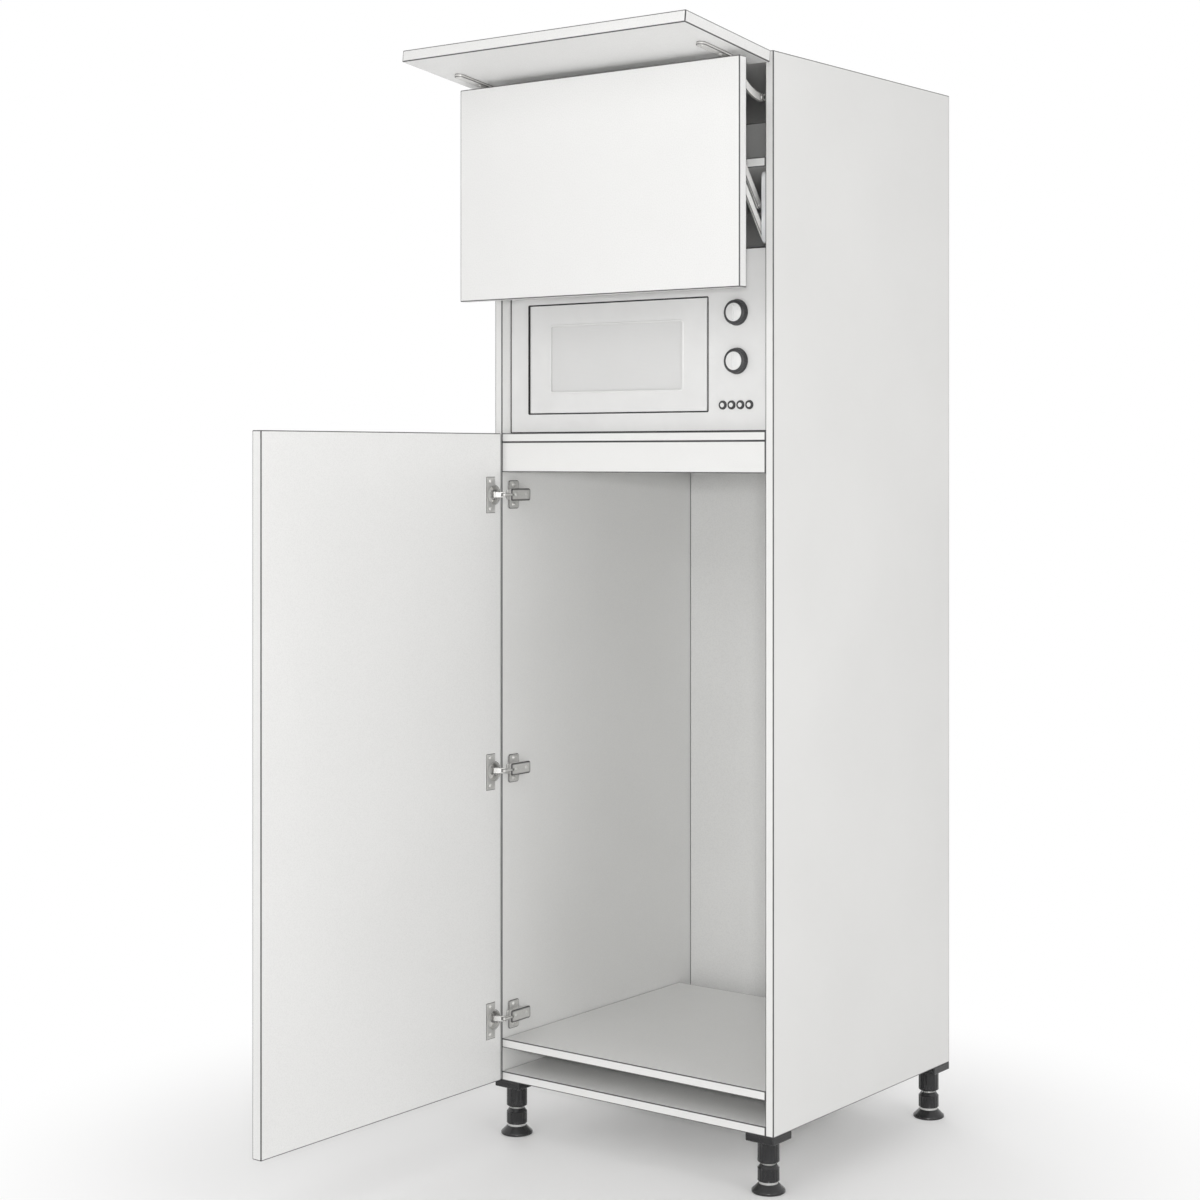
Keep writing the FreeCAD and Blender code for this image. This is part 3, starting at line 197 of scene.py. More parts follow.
def slab(low, high, arris=ARRIS, line=LINE):
    """A board between two corners: a rounded rectangle carried along its longest side.

    The first and last rings draw in along a quarter circle, so the ends have the same arris. The shade is 1
    on every arris: a mark below zero takes the ring's own round corners.
    """
    span = np.subtract(high, low)
    along = int(np.argmax(span))
    across, up = (along + 1) % 3, (along + 2) % 3
    lean = np.linspace(math.pi / 2, 0, 4)
    inset = np.concatenate(([arris + line], arris * (1 - np.cos(lean)), [0]))
    reach = np.concatenate(([0], arris * (1 - np.sin(lean)), [arris + line]))
    inset = np.concatenate((inset, inset[::-1]))
    reach = np.concatenate((reach, span[along] - reach[::-1]))
    marks = np.array([0, 1, 1, 1, 1, -1, -1, 1, 1, 1, 1, 0])
    outlines = [
        corner_ring(span[across] - 2 * draw, span[up] - 2 * draw, max(arris - draw, 0.2 * arris), line)
        for draw in inset
    ]
    rings = np.zeros((len(inset), len(outlines[0][0]), 3))
    shade = np.zeros(rings.shape[:2])
    for row, (points, bent) in enumerate(outlines):
        rings[row, :, across], rings[row, :, up] = points.T
        shade[row] = bent if marks[row] < 0 else marks[row]
    rings[:, :, along] = (reach - span[along] / 2)[:, None]
    return rings + np.add(low, high) / 2, shade


def inside_out(rings, hoop):
    """Whether a grid's faces look inwards: the cones from its middle to its faces then add up below zero.

    A quad a, b, c, d adds a . (b x c + c x d). The open ends are closed by rings shrunk to their middles.
    """
    ends = np.broadcast_to(rings[[0, -1]].mean(axis=1, keepdims=True), (2, *rings.shape[1:]))
    grid = rings if hoop else np.concatenate((ends[:1], rings, ends[1:]))
    grid = grid - grid.mean(axis=(0, 1))
    first, fourth = grid[:-1], grid[1:]
    second, third = np.roll(first, -1, axis=1), np.roll(fourth, -1, axis=1)
    return np.sum(first * (np.cross(second, third) + np.cross(third, fourth))) < 0


def skinned(name, shells):
    """One mesh from several grids of rings: point j of ring i joins point j + 1 and point j of ring i + 1.

    Each ring closes on itself and the end rings are filled flat, unless the last repeats the first: then
    the grid is a hoop. A grid that is inside out has its rings turned round. A shell may come with a shade
    for each point, kept as the attribute "arris": 1 along its edges, 0 on its faces.
    """
    places, faces, shades, offset = [], [], [], 0
    for shell in shells:
        rings, shade = shell if isinstance(shell, tuple) else (shell, np.zeros(shell.shape[:2]))
        hoop = np.allclose(rings[0], rings[-1])
        if inside_out(rings, hoop):
            rings, shade = rings[:, ::-1], shade[:, ::-1]
        kept = rings[:-1] if hoop else rings
        index = offset + np.arange(kept.size // 3).reshape(kept.shape[:2])
        if hoop:
            index = np.concatenate((index, index[:1]))
        after = np.roll(index, -1, axis=1)
        faces += np.stack((index[:-1], after[:-1], after[1:], index[1:]), axis=-1).reshape(-1, 4).tolist()
        if not hoop:
            faces += [index[0, ::-1].tolist(), index[-1].tolist()]
        places.append(kept.reshape(-1, 3))
        shades.append(shade[:len(kept)].reshape(-1))
        offset += kept.size // 3
    mesh = bpy.data.meshes.new(name)
    mesh.from_pydata(np.concatenate(places), [], faces)
    mesh.polygons.foreach_set("use_smooth", np.ones(len(mesh.polygons), bool))
    mesh.set_sharp_from_angle(angle=CREASE)
    arris = mesh.attributes.new("arris", "FLOAT", "POINT")
    arris.data.foreach_set("value", np.concatenate(shades).astype(np.float32))
    piece = bpy.data.objects.new(name, mesh)
    scene.collection.objects.link(piece)
    return piece


def fitted(piece, finish, body, slot, *stands_for):
    """Give a piece its finish, the body it moves with and the nodes it stands for. The slot is not used."""
    piece.data.materials.append(finish)
    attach(piece, body)
    if stands_for:
        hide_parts(*stands_for)


def speckle(tree, place, scale, detail=2.0, stretch=(1, 1, 1)):
    """Noise at so many grains to the metre, drawn finer along each axis by stretch."""
    spread = wired(tree, "Mapping", {"Vector": place, "Scale": stretch}).outputs[0]
    return wired(tree, "TexNoise", {"Vector": spread, "Scale": scale, "Detail": detail}).outputs["Fac"]


def graded(tree, value, *stops):
    """Colours between two stops along a value: each stop is a place from 0 to 1 and a colour."""
    ramp = wired(tree, "ValToRGB", {"Fac": value})
    for mark, (spot, colour) in zip(ramp.color_ramp.elements, stops):
        mark.position = spot
        mark.color = (*colour, 1)
    return ramp.outputs["Color"]


def blended(tree, share, first, second, kind="MIX"):
    """A colour from two sockets or plain colours, by the second's share: a socket or a number."""
    first, second = ((*tone, 1) if isinstance(tone, tuple) else tone for tone in (first, second))
    inputs = {0: share, 6: first, 7: second}
    return wired(tree, "Mix", inputs, data_type="RGBA", blend_type=kind).outputs[2]


def ranged(tree, value, low, high):
    """A value from 0 to 1 brought between low and high."""
    return wired(tree, "MapRange", {"Value": value, "To Min": low, "To Max": high}).outputs[0]


def raised(tree, shader, height, depth, strength):
    """Let a height stand out of the surface by up to depth metres."""
    bump = wired(tree, "Bump", {"Height": height, "Distance": depth, "Strength": strength})
    plugged(tree, shader, {"Normal": bump.outputs[0]})


def arris_mark(tree):
    """The piece's own attribute that is 1 along its edges."""
    return wired(tree, "Attribute", {}, attribute_name="arris").outputs["Fac"]


def surfaced(tree, shader, base, edge, cloud, gloss, height, depth, strength):
    """Give a shader its colour with another tone along the edges, a clouded gloss and a fine relief."""
    tone = blended(tree, arris_mark(tree), base, edge)
    plugged(tree, shader, {"Base Color": tone, "Roughness": ranged(tree, cloud, *gloss)})
    raised(tree, shader, height, depth, strength)


GLUE_LINE = (0.05, 0.05, 0.052)


def board_finish(name, tone, shadow, grains, depth, roughness):
    """A pale facing with a fine pearl grain, faint clouding and a glue line along its arrises."""
    finish, tree, shader, place = blank_finish(name, roughness)
    cloud = speckle(tree, place, 3.0, 4.0)
    grain = speckle(tree, place, grains)
    face = graded(tree, cloud, (0.3, shadow), (0.7, tone))
    fleck = graded(tree, grain, (0.25, (0.93, 0.93, 0.93)), (0.6, (1, 1, 1)))
    base = blended(tree, 1.0, face, fleck, "MULTIPLY")
    surfaced(tree, shader, base, GLUE_LINE, cloud, (roughness - 0.08, roughness + 0.08), grain, depth, 0.5)
    return finish


melamine = board_finish("white_melamine", (0.80, 0.80, 0.79), (0.765, 0.765, 0.755), 900, 0.00006, 0.42)
BOARDS = (
    "bottom_panel", "appliance_floor", "cross_rail", "microwave_shelf", "upper_shelf", "top_panel",
    "left_side_panel", "right_side_panel",
)
for board in BOARDS:
    fitted(skinned("faced_" + board, [slab(*corners(board))]), melamine, "carcass", "carcass_board", board)

# Back panel
# Thin fibreboard, lacquered white, let in flush between the boards. Countersunk screws hold it to the upper
# shelf and to a rail under the top panel. Two bores through panel and rail take the screws to the wall.


def turned(profile, centre, axis=2, flutes=0, points=48):
    """A turned form: each radius and height of the profile goes once round the axis.

    A third column is how deep that ring's flutes are, in so many cosine waves round the axis.
    """
    profile = np.asarray(profile, float)
    angle = np.linspace(0, 2 * math.pi, points, endpoint=False)
    wave = 0.5 - 0.5 * np.cos(flutes * angle)
    depth = profile[:, 2:3] if profile.shape[1] > 2 else np.zeros((len(profile), 1))
    radius = profile[:, :1] - depth * wave
    rings = np.zeros((len(profile), points, 3))
    rings[:, :, axis] = profile[:, 1:2]
    rings[:, :, (axis + 1) % 3] = radius * np.cos(angle)
    rings[:, :, (axis + 2) % 3] = radius * np.sin(angle)
    return rings + centre


def laid(shell, origin, first, second, third):
    """A shell drawn about zero, stood at an origin with its X, Y and Z along three directions."""
    if isinstance(shell, tuple):
        return laid(shell[0], origin, first, second, third), shell[1]
    return shell @ np.array([first, second, third]) + origin


def points_of(mesh):
    """The places of a mesh's points, one row each."""
    flat = np.empty(3 * len(mesh.vertices), np.float32)
    mesh.vertices.foreach_get("co", flat)
    return flat.reshape(-1, 3)


def drilled(piece, shells):
    """Bore closed forms out of a piece's mesh. The bores' own points get no glue line: their arris is 0.

    A point is the piece's own if it lies within a thousandth of a millimetre of one before boring.
    """
    bit = skinned(piece.name + "_bit", shells)
    bore = piece.modifiers.new("bore", "BOOLEAN")
    bore.operation = "DIFFERENCE"
    bore.solver = "EXACT"
    bore.object = bit
    scene.view_layers[0].update()
    whole = piece.data
    piece.data = bpy.data.meshes.new_from_object(piece.evaluated_get(bpy.context.evaluated_depsgraph_get()))
    piece.data.name = piece.name
    piece.data.set_sharp_from_angle(angle=CREASE)
    kept = np.abs(points_of(piece.data)[:, None] - points_of(whole)).max(axis=2).min(axis=1) < 0.001 * MM
    arris = piece.data.attributes["arris"].data
    shade = np.empty(len(kept), np.float32)
    arris.foreach_get("value", shade)
    arris.foreach_set("value", shade * kept)
    piece.modifiers.clear()
    bpy.data.objects.remove(bit)
    bpy.data.meshes.remove(whole)
    return piece


def screw_head(radius, rise):
    """A pan head: rings rise over a dome, then drop into a recess like a rounded cross.

    The recess swells four times round, with the cube of the cosine of twice the angle.
    """
    angle = np.linspace(0, 2 * math.pi, 32, endpoint=False)
    plain = np.ones_like(angle)
    cross = 0.34 + 0.66 * np.abs(np.cos(2 * angle)) ** 3
    rows = (
        (1.0, 0, plain), (1.0, 0.45, plain), (0.92, 0.75, plain), (0.72, 0.95, plain), (0.55, 1.0, cross),
        (0.45, 0.15, cross),
    )
    return np.array([
        np.stack((radius * share * lobe * np.cos(angle), radius * share * lobe * np.sin(angle),
                  rise * height * plain), axis=-1)
        for share, height, lobe in rows
    ])


SCRATCH = 0.03 * MM


def metal_finish(name, tone, dull, edge, roughness, stretch):
    """Worked metal: drawn-out scratches along one axis, clouded gloss and edges rubbed to another tone."""
    finish, tree, shader, place = blank_finish(name, roughness, metal=1.0)
    scratch = speckle(tree, place, 260, 4.0, stretch)
    cloud = speckle(tree, place, 40, 3.0)
    base = graded(tree, scratch, (0.3, dull), (0.65, tone))
    plugged(tree, shader, {"Anisotropic": 0.4})
    surfaced(tree, shader, base, edge, cloud, (roughness - 0.08, roughness + 0.12), scratch, SCRATCH, 0.4)
    return finish


fibreboard = board_finish("white_fibreboard", (0.76, 0.76, 0.75), (0.72, 0.72, 0.71), 420, 0.00012, 0.55)
# zinc plating; on the feet's spindles its pale colour is also painted highlight between the black parts
zinc = metal_finish(
    "zinc_plated_steel_and_foot_highlight", (0.72, 0.72, 0.71), (0.62, 0.62, 0.61), (0.8, 0.8, 0.79), 0.36, (6, 6, 0.6),
)
RIGHTWARD, BACKWARD, UPWARD = np.eye(3)
SIDES = (-1, 1)
WALL_BORE, WALL_BORES_APART = mm(3, 400)
rail_low, rail_high = corners("wall_rail")
back_face = corners("back_panel")[1][1]
wall_bore = [(WALL_BORE, rail_low[1] - WALL_BORE), (WALL_BORE, back_face + WALL_BORE)]
wall_bores = [
    turned(wall_bore, (side * WALL_BORES_APART / 2, 0, (rail_low[2] + rail_high[2]) / 2), axis=1)
    for side in SIDES
]
wall_rail = drilled(skinned("faced_wall_rail", [slab(rail_low, rail_high)]), wall_bores)
fitted(wall_rail, melamine, "carcass", "carcass_board", "wall_rail")

SCREW_ROUND, SCREW_RISE, SCREW_SUNK = mm(3.3, 1.0, 1.2)
SINK_WIDE, SINK_LOW, SINK_DEEP = mm(4.6, 1.3, 3.2)
SCREWS_ACROSS, SCREWS_BELOW_TOP = mm(-255, -85, 85, 255), 18 * MM
screw_heights = (corners("upper_shelf")[:, 2].mean(), rail_high[2] - SCREWS_BELOW_TOP)
screw_spots = [np.array([across, back_face, height]) for height in screw_heights for across in SCREWS_ACROSS]
sink = [(SCREW_ROUND, -SINK_DEEP), (SCREW_ROUND, -SINK_LOW), (SINK_WIDE, 0), (SINK_WIDE, SCREW_RISE)]
sinks = [turned(sink, spot, axis=1, points=32) for spot in screw_spots]
back_panel = drilled(skinned("faced_back_panel", [slab(*corners("back_panel"))]), wall_bores + sinks)
fitted(back_panel, fibreboard, "carcass", "back_board", "back_panel")
back_screw = screw_head(SCREW_ROUND, SCREW_RISE)
back_screws = [
    laid(back_screw, spot - SCREW_SUNK * BACKWARD, RIGHTWARD, -UPWARD, BACKWARD) for spot in screw_spots
]
fitted(skinned("back_panel_screws", back_screws), zinc, "carcass", "pin_steel")

# Levelling feet
# Black moulded plastic: a square socket screwed under each corner, and a foot that screws out of its sleeve.
# The sleeve and the collar are ribbed for the fingers, and the disc spreads the load. A zinc-plated spindle
# is moulded into the collar and shows between it and the sleeve, and above the disc.
# The spindle's pale colour is partly painted highlight: it stands for the pale lines between the black parts.


def moulded_finish(name, tone, worn, roughness, grains, depth):
    """Moulded plastic: a clouded colour with a fine spark-eroded grain, and a worn tone along its edges."""
    finish, tree, shader, place = blank_finish(name, roughness)
    grain = speckle(tree, place, grains)
    patch = speckle(tree, place, 25, 3.0)
    base = graded(tree, patch, (0.35, tone), (0.75, tuple(0.5 * (a + b) for a, b in zip(tone, worn))))
    surfaced(tree, shader, base, worn, patch, (roughness - 0.07, roughness + 0.1), grain, depth, 0.6)
    return finish


foot_plastic = moulded_finish(
    "black_foot_plastic", (0.012, 0.012, 0.013), (0.03, 0.03, 0.031), 0.2, 1400, 0.00004,
)
RIM, NECK, COLLAR, SHOULDER, COLLAR_TOP = mm(5, 15, 19, 42, 46)
STEM, WASHER, THREAD_DEEP = mm(12, 16.3, 0.9)
THREAD_TURNS = 34
SLEEVE, SLEEVE_LOW, BORE, LIP = mm(18.5, 51, 12.3, 1.2)
RIBS = {"flutes": 16, "points": 96}
RIB = 1.0 * MM
PLATE_HALF, PLATE_THICK = mm(28, 28, 0), 13 * MM
plate_high = corners("foot_sockets")[1][2]
plate_low = plate_high - PLATE_THICK
sleeve = [
    (BORE, plate_low + 9 * MM, 0), (BORE, SLEEVE_LOW + LIP, 0), (BORE + LIP, SLEEVE_LOW, 0),
    (SLEEVE - LIP, SLEEVE_LOW, 0), (SLEEVE, SLEEVE_LOW + LIP, 0), (SLEEVE, SLEEVE_LOW + 4 * MM, 0),
    (SLEEVE, SLEEVE_LOW + 7 * MM, RIB), (SLEEVE, plate_low - 6 * MM, RIB), (SLEEVE, plate_low - 3 * MM, 0),
    (SLEEVE + 2 * MM, plate_low + LIP, 0), (BORE + LIP, plate_low + LIP, 0),
]
collar = [
    (STEM, COLLAR, 0), (SLEEVE - LIP, COLLAR, 0), (SLEEVE, COLLAR + LIP, 0), (SLEEVE, COLLAR + 4 * MM, RIB),
    (SLEEVE, SHOULDER - 4 * MM, RIB), (SLEEVE, SHOULDER - LIP, 0), (SLEEVE - LIP, SHOULDER, 0),
    (SLEEVE - 4 * MM, COLLAR_TOP, 0), (STEM, COLLAR_TOP, 0),
]
sockets = []
for foot in ("foot_front_left", "foot_front_right", "foot_back_left", "foot_back_right"):
    foot_low, foot_high = corners(foot)
    stand = (foot_low + foot_high) / 2 * (1, 1, 0)
    wide, stem_top = (foot_high[0] - foot_low[0]) / 2, foot_high[2]
    disc = [
        (wide - 3 * LIP, 0, 0), (wide - LIP, 0, 0), (wide, LIP, 0), (wide, RIM - LIP, 0),
        (wide - 0.6 * LIP, RIM, 0), (SLEEVE + 5 * MM, RIM + 4 * MM, 0), (SLEEVE + 1 * MM, NECK - 2 * MM, 0),
        (SLEEVE - LIP, NECK, 0), (STEM, NECK, 0),
    ]
    moulded = [turned(profile, stand, **RIBS) for profile in (disc, collar)]
    fitted(skinned("moulded_" + foot, moulded), foot_plastic, foot, "foot_plastic", foot)
    thread = np.linspace(COLLAR_TOP - 1 * MM, stem_top - 1 * MM, 2 * THREAD_TURNS)
    thread_round = STEM - THREAD_DEEP * (np.arange(len(thread)) % 2)
    spindle = np.concatenate((
        [(STEM - LIP, NECK - 1 * MM), (WASHER, NECK - 0.5 * MM), (WASHER, COLLAR + 0.5 * MM),
         (STEM, COLLAR + 1 * MM)],
        np.stack((thread_round, thread), axis=-1),
        [(STEM - LIP, stem_top)],
    ))
    # the spindle's pale zinc is partly painted highlight between the black parts
    fitted(skinned("threaded_spindle_" + foot, [turned(spindle, stand)]), zinc, foot, "pin_steel")
    plate = slab(stand - PLATE_HALF + plate_low * UPWARD, stand + PLATE_HALF + plate_high * UPWARD, LIP, LIP)
    sockets += [plate, turned(sleeve, stand, **RIBS)]
fitted(skinned("moulded_foot_sockets", sockets), foot_plastic, "carcass", "foot_plastic", "foot_sockets")

# Shelf pins
# Four turned steel pins, pushed into blind holes in the sides, carry the upper shelf.
# The same bright steel makes every hinge and link pin of the cabinet.


def coated(node, finish):
    """Give a node of the frame, whose shape is right as it is, its finish."""
    slots = frame["nodes"][node].data.materials
    slots.clear()
    slots.append(finish)


pin_steel = metal_finish(
    "turned_pin_steel", (0.60, 0.60, 0.60), (0.50, 0.50, 0.50), (0.7, 0.7, 0.7), 0.24, (6, 6, 0.6),
)
for pin in frame["nodes"]:
    if pin.endswith("_pins"):
        coated(pin, pin_steel)

# Refrigerator door
# A satin lacquered board, edged all round, drilled on its inner face for three hinge cups.
# The wells are bored with a flat drill, so their floors are flat.
lacquer = board_finish("white_satin_front", (0.82, 0.82, 0.812), (0.80, 0.80, 0.792), 500, 0.00005, 0.34)
pivots = {joint["name"]: np.array(joint["pos_m"]) for joint in frame["joints"] if "pos_m" in joint}
LINK_PIN = mm(28, 9.5, 0)
CUP_PIN = mm(10.5, 7.5, 0)
CUP_MIDDLE, CUP_ROUND, CUP_DEEP, FRONT_GAP = mm(20.5, 17.5, 13, 2)
DOOR_HINGES = (0.2145, 0.6615, 1.1590)
DOOR_CLOSED = np.array([[1, 0, 0], [0, -1, 0], [0, 0, -1]], float)
DOOR_OPEN = np.array([[0, -1, 0], [-1, 0, 0], [0, 0, -1]], float)


def hinge_seats(front, closed, opened, spots, along):
    """Where each hinge stands: on the carcass, and on the front as it rests.

    Both follow from the pins in the frame: the link's pin is fixed, the cup's pin goes with the front.
    """
    fixed = pivots[front + "_link_swing"] - LINK_PIN @ closed
    moving = pivots[front + "_swing"] - CUP_PIN @ opened
    shifts = [(spot - pivots[front + "_swing"][along]) * np.eye(3)[along] for spot in spots]
    return [(fixed + shift, moving + shift) for shift in shifts]


def cup_wells(seats, opened):
    """The drilled wells of a front: flat cylinders from just above its inner face."""
    well = turned([(CUP_ROUND, -FRONT_GAP), (CUP_ROUND, CUP_DEEP)], (0, 0, 0), axis=1)
    return [laid(well, moving + (CUP_MIDDLE, FRONT_GAP, 0) @ opened, *opened) for _, moving in seats]


door_seats = hinge_seats("door", DOOR_CLOSED, DOOR_OPEN, DOOR_HINGES, 2)
door_panel = skinned("lacquered_door_panel", [slab(*corners("door_panel"))])
fitted(drilled(door_panel, cup_wells(door_seats, DOOR_OPEN)), lacquer, "door", "front_board", "door_panel")

# Concealed hinges
# Nickel-plated pressings: a cross-shaped plate on the carcass, a domed arm on it, a forked link, and a cup
# sunk in the front, with a screwed flange that lies to one side. Pan-head screws hold them to the boards.


def rounded_plan(wide, tall, round_off):
    """The outline of a rectangle with round corners, about zero."""
    return corner_ring(wide, tall, round_off, 0.02 * MM)[0]


def arc(radius, start, end, steps, middle=(0, 0)):
    """Points along a circle between two angles: the middle plus radius times cosine and sine."""
    angle = np.linspace(start, end, steps)
    return np.array(middle) + radius * np.stack((np.cos(angle), np.sin(angle)), axis=-1)


def eyed_plan(long, eye, steps=13):
    """The outline of a flat link along X: a half circle at each end, joined by straight sides."""
    far = arc(eye, -math.pi / 2, math.pi / 2, steps, (long, 0))
    return np.concatenate((far, arc(eye, math.pi / 2, 1.5 * math.pi, steps)))


def waisted_plan(long, eye, waist, steps=13):
    """The outline of a link along X: a round eye about zero, straight sides and a half circle at the waist.

    The eye's arc begins where its height equals the waist, at the angle whose sine is waist over eye.
    """
    join = math.asin(waist / eye)
    far = arc(waist, -math.pi / 2, math.pi / 2, steps, (long, 0))
    return np.concatenate((far, arc(eye, join, 2 * math.pi - join, 2 * steps)))


def pressed(plan, thick, edge):
    """A flat pressing: its outline carried up through its thickness, drawn in along rounded edges.

    Each ring moves inwards along the outline's own normals by a quarter circle of the edge's radius.
    """
    ahead = np.roll(plan, -1, axis=0) - np.roll(plan, 1, axis=0)
    normal = np.stack((-ahead[:, 1], ahead[:, 0]), axis=-1)
    normal /= np.linalg.norm(normal, axis=1, keepdims=True)
    lean = np.linspace(math.pi / 2, 0, 4)
    inset = np.concatenate(([1.6 * edge], edge * (1 - np.cos(lean)), [0]))
    rise = np.concatenate(([0], edge * (1 - np.sin(lean)), [min(1.3 * edge, thick / 2)]))
    inset = np.concatenate((inset, inset[::-1]))
    rise = np.concatenate((rise, thick - rise[::-1]))
    shade = np.tile([0, 0.6, 1, 1, 0.6, 0], 2)
    rings = np.zeros((len(inset), len(plan), 3))
    rings[:, :, :2] = plan + inset[:, None, None] * normal
    rings[:, :, 2] = rise[:, None]
    return rings, np.repeat(shade[:, None], len(plan), axis=1)


def cup_flange(mouth, rim, wide, tall, shift, gate, thick):
    """The flange of a cup, about the cup's middle, with its thickness along Z.

    At each angle it reaches from the mouth to the round rim, or to the sides of the oblong plate where they
    lie further out: the ray's length to a side is that side's distance over the ray's cosine. The plate is
    set off the cup along X. Across the gate, towards the front's edge, it is pressed flat for the link.
    """
    ends = np.arctan2([tall / 2, tall / 2, -tall / 2, -tall / 2], [shift + wide / 2, shift - wide / 2] * 2)
    angle = np.unique(np.concatenate((np.linspace(-math.pi, math.pi, 96, endpoint=False), ends)))
    along, across = np.cos(angle), np.sin(angle)
    sides = np.where(along > 0, shift + wide / 2, wide / 2 - shift) / np.maximum(np.abs(along), 1e-6)
    reach = np.maximum(rim, np.minimum(sides, tall / 2 / np.maximum(np.abs(across), 1e-6)))
    flat = np.where((along < 0) & (mouth * np.abs(across) < gate), 0.05, 1.0)
    insets = (
        (reach, 0.0), (reach, 0.6), (reach - 0.12 * thick, 0.88), (reach - 0.4 * thick, 1.0),
        (reach - 0.9 * thick, 1.0), (mouth + 0.3 * thick, 1.0), (mouth, 0.7), (mouth, 0.0), (reach, 0.0),
    )
    rings = np.zeros((len(insets), len(angle), 3))
    for ring, (radius, height) in zip(rings, insets):
        ring[:] = np.stack((radius * along, radius * across, thick * height * flat), axis=-1)
    shade = np.array([0, 0.4, 1, 1, 0, 0.3, 0.6, 0, 0])
    return rings, np.repeat(shade[:, None], len(angle), axis=1)


nickel = metal_finish(
    "nickel_plate", (0.80, 0.795, 0.78), (0.70, 0.695, 0.68), (0.10, 0.10, 0.10), 0.56, (1.5, 1.5, 8),
)
# plate and arm on the carcass: heights from the seat inwards, and places behind the front
SEAT, WING_THICK, RIB_RISE, ARM_TOP, NOSE_THICK = mm(14.5, 3, 8, 31, 4.8)
WING_BACK, RIB_BACK, ARM_BACK, NOSE_BACK = mm(30.5, 34, 35, 14)
wing = pressed(rounded_plan(*mm(29, 51, 4.5)), WING_THICK, 1.0 * MM)
rib = pressed(rounded_plan(*mm(44, 18, 2.5)), RIB_RISE, 1.0 * MM)
arm = pressed(rounded_plan(*mm(54, 22, 3.5)), ARM_TOP - SEAT - RIB_RISE, 2.2 * MM)
nose = pressed(eyed_plan(23.5 * MM, 3 * MM), NOSE_THICK, 0.5 * MM)
plate_screw, PLATE_SCREWS = screw_head(4.2 * MM, 1.6 * MM), mm(-18, 18)
arm_screw, ARM_SCREWS, ARM_SCREW_SUNK = screw_head(3.6 * MM, 0.9 * MM), mm(22, 51), 0.2 * MM
# cup in the front, with the lugs that hold its pin
cup = turned(mm(
    (1, 12.9), (16.9, 12.9), (17.4, 12.4), (17.4, 0), (16.2, 0), (16.2, 11.4), (15.7, 11.9), (1, 11.9),
), (0, 0, 0), axis=1)
FLANGE_SHIFT, FLANGE_THICK = mm(9.5, 1.45)
flange = cup_flange(16.2 * MM, 18.4 * MM, 24 * MM, 65 * MM, FLANGE_SHIFT, 6.6 * MM, FLANGE_THICK)
board_screw, CUP_SCREWS, CUP_SCREW_SUNK = screw_head(3.8 * MM, 1.5 * MM), 25 * MM, 0.1 * MM
lug = slab(mm(-3, -3, -1.25), mm(3, 6.9, 1.25), 0.6 * MM, 0.3 * MM)
LUG_ASIDE = 6.65 * MM
# link: a strap from the cup's pin, forked into two cheeks at the arm's pin
LINK_EYE, LINK_WAIST, LINK_EDGE, LINK_WIDE = mm(2.6, 1.0, 0.3, 10)
STRAP_SHORT, CHEEK_LONG, CHEEK_THICK = mm(6.5, 7, 2.25)
cheek = pressed(waisted_plan(CHEEK_LONG, LINK_EYE, LINK_WAIST), CHEEK_THICK, LINK_EDGE)


def hinge_set(front, seats, closed, opened):
    """The dressed pieces of a front's hinges, one object for each kind."""
    inward, outward, aside = closed
    to_front, to_out, to_side = opened
    plates, arms, links, cups = [], [], [], []

    def mounted(shell, fixed, rise, back, along=0):
        """A shell on the carcass, by its height, its place behind the front and its place along the pins."""
        return laid(shell, fixed + (rise, -back, along) @ closed, outward, aside, inward)

    for fixed, moving in seats:
        plates += [mounted(wing, fixed, SEAT, WING_BACK), mounted(rib, fixed, SEAT, RIB_BACK)]
        plates += [mounted(plate_screw, fixed, SEAT + WING_THICK, WING_BACK, hole) for hole in PLATE_SCREWS]
        nose_seat = fixed + (LINK_PIN[0], -NOSE_BACK, -NOSE_THICK / 2) @ closed
        arms.append(mounted(arm, fixed, SEAT + RIB_RISE, ARM_BACK))
        arms.append(laid(nose, nose_seat, outward, -inward, aside))
        arms += [mounted(arm_screw, fixed, ARM_TOP - ARM_SCREW_SUNK, back) for back in ARM_SCREWS]
        cup_seat = moving + (CUP_MIDDLE, FRONT_GAP, 0) @ opened
        cups += [laid(cup, cup_seat, *opened), laid(flange, cup_seat, to_front, to_side, -to_out)]
        flange_top = cup_seat + FLANGE_SHIFT * to_front - (FLANGE_THICK - CUP_SCREW_SUNK) * to_out
        for side in SIDES:
            spot = flange_top + side * CUP_SCREWS * to_side
            cups.append(laid(board_screw, spot, to_front, to_side, -to_out))
            cups.append(laid(lug, moving + (CUP_PIN + (0, 0, side * LUG_ASIDE)) @ opened, *opened))
        start, end = moving + CUP_PIN @ opened, fixed + LINK_PIN @ closed
        long = np.linalg.norm(end - start)
        forward = (end - start) / long
        over = np.cross(aside, forward)
        strap = pressed(waisted_plan(long - STRAP_SHORT, LINK_EYE, LINK_WAIST), LINK_WIDE, LINK_EDGE)
        links.append(laid(strap, start - LINK_WIDE / 2 * aside, forward, over, aside))
        for layer in (-LINK_WIDE / 2, LINK_WIDE / 2 - CHEEK_THICK):
            links.append(laid(cheek, end + layer * aside, -forward, -over, aside))
    kinds = (("plates", plates, "carcass"), ("arms", arms, "carcass"), ("cups", cups, front),
             ("links", links, front + "_links"))
    for kind, shells, body in kinds:
        node = f"{front}_hinge_{kind}"
        fitted(skinned("pressed_" + node, shells), nickel, body, "hinge_steel", node)


hinge_set("door", door_seats, DOOR_CLOSED, DOOR_OPEN)

# Lifting front
# A satin lacquered board like the door's, screwed at its back to two angle brackets.
# Two arms on each side keep it upright as it rises; the spring unit behind them is closed in a painted case.
lift_front = skinned("lacquered_lift_front", [slab(*corners("lift_front_panel"))])
fitted(lift_front, lacquer, "lift_front", "front_board", "lift_front_panel")


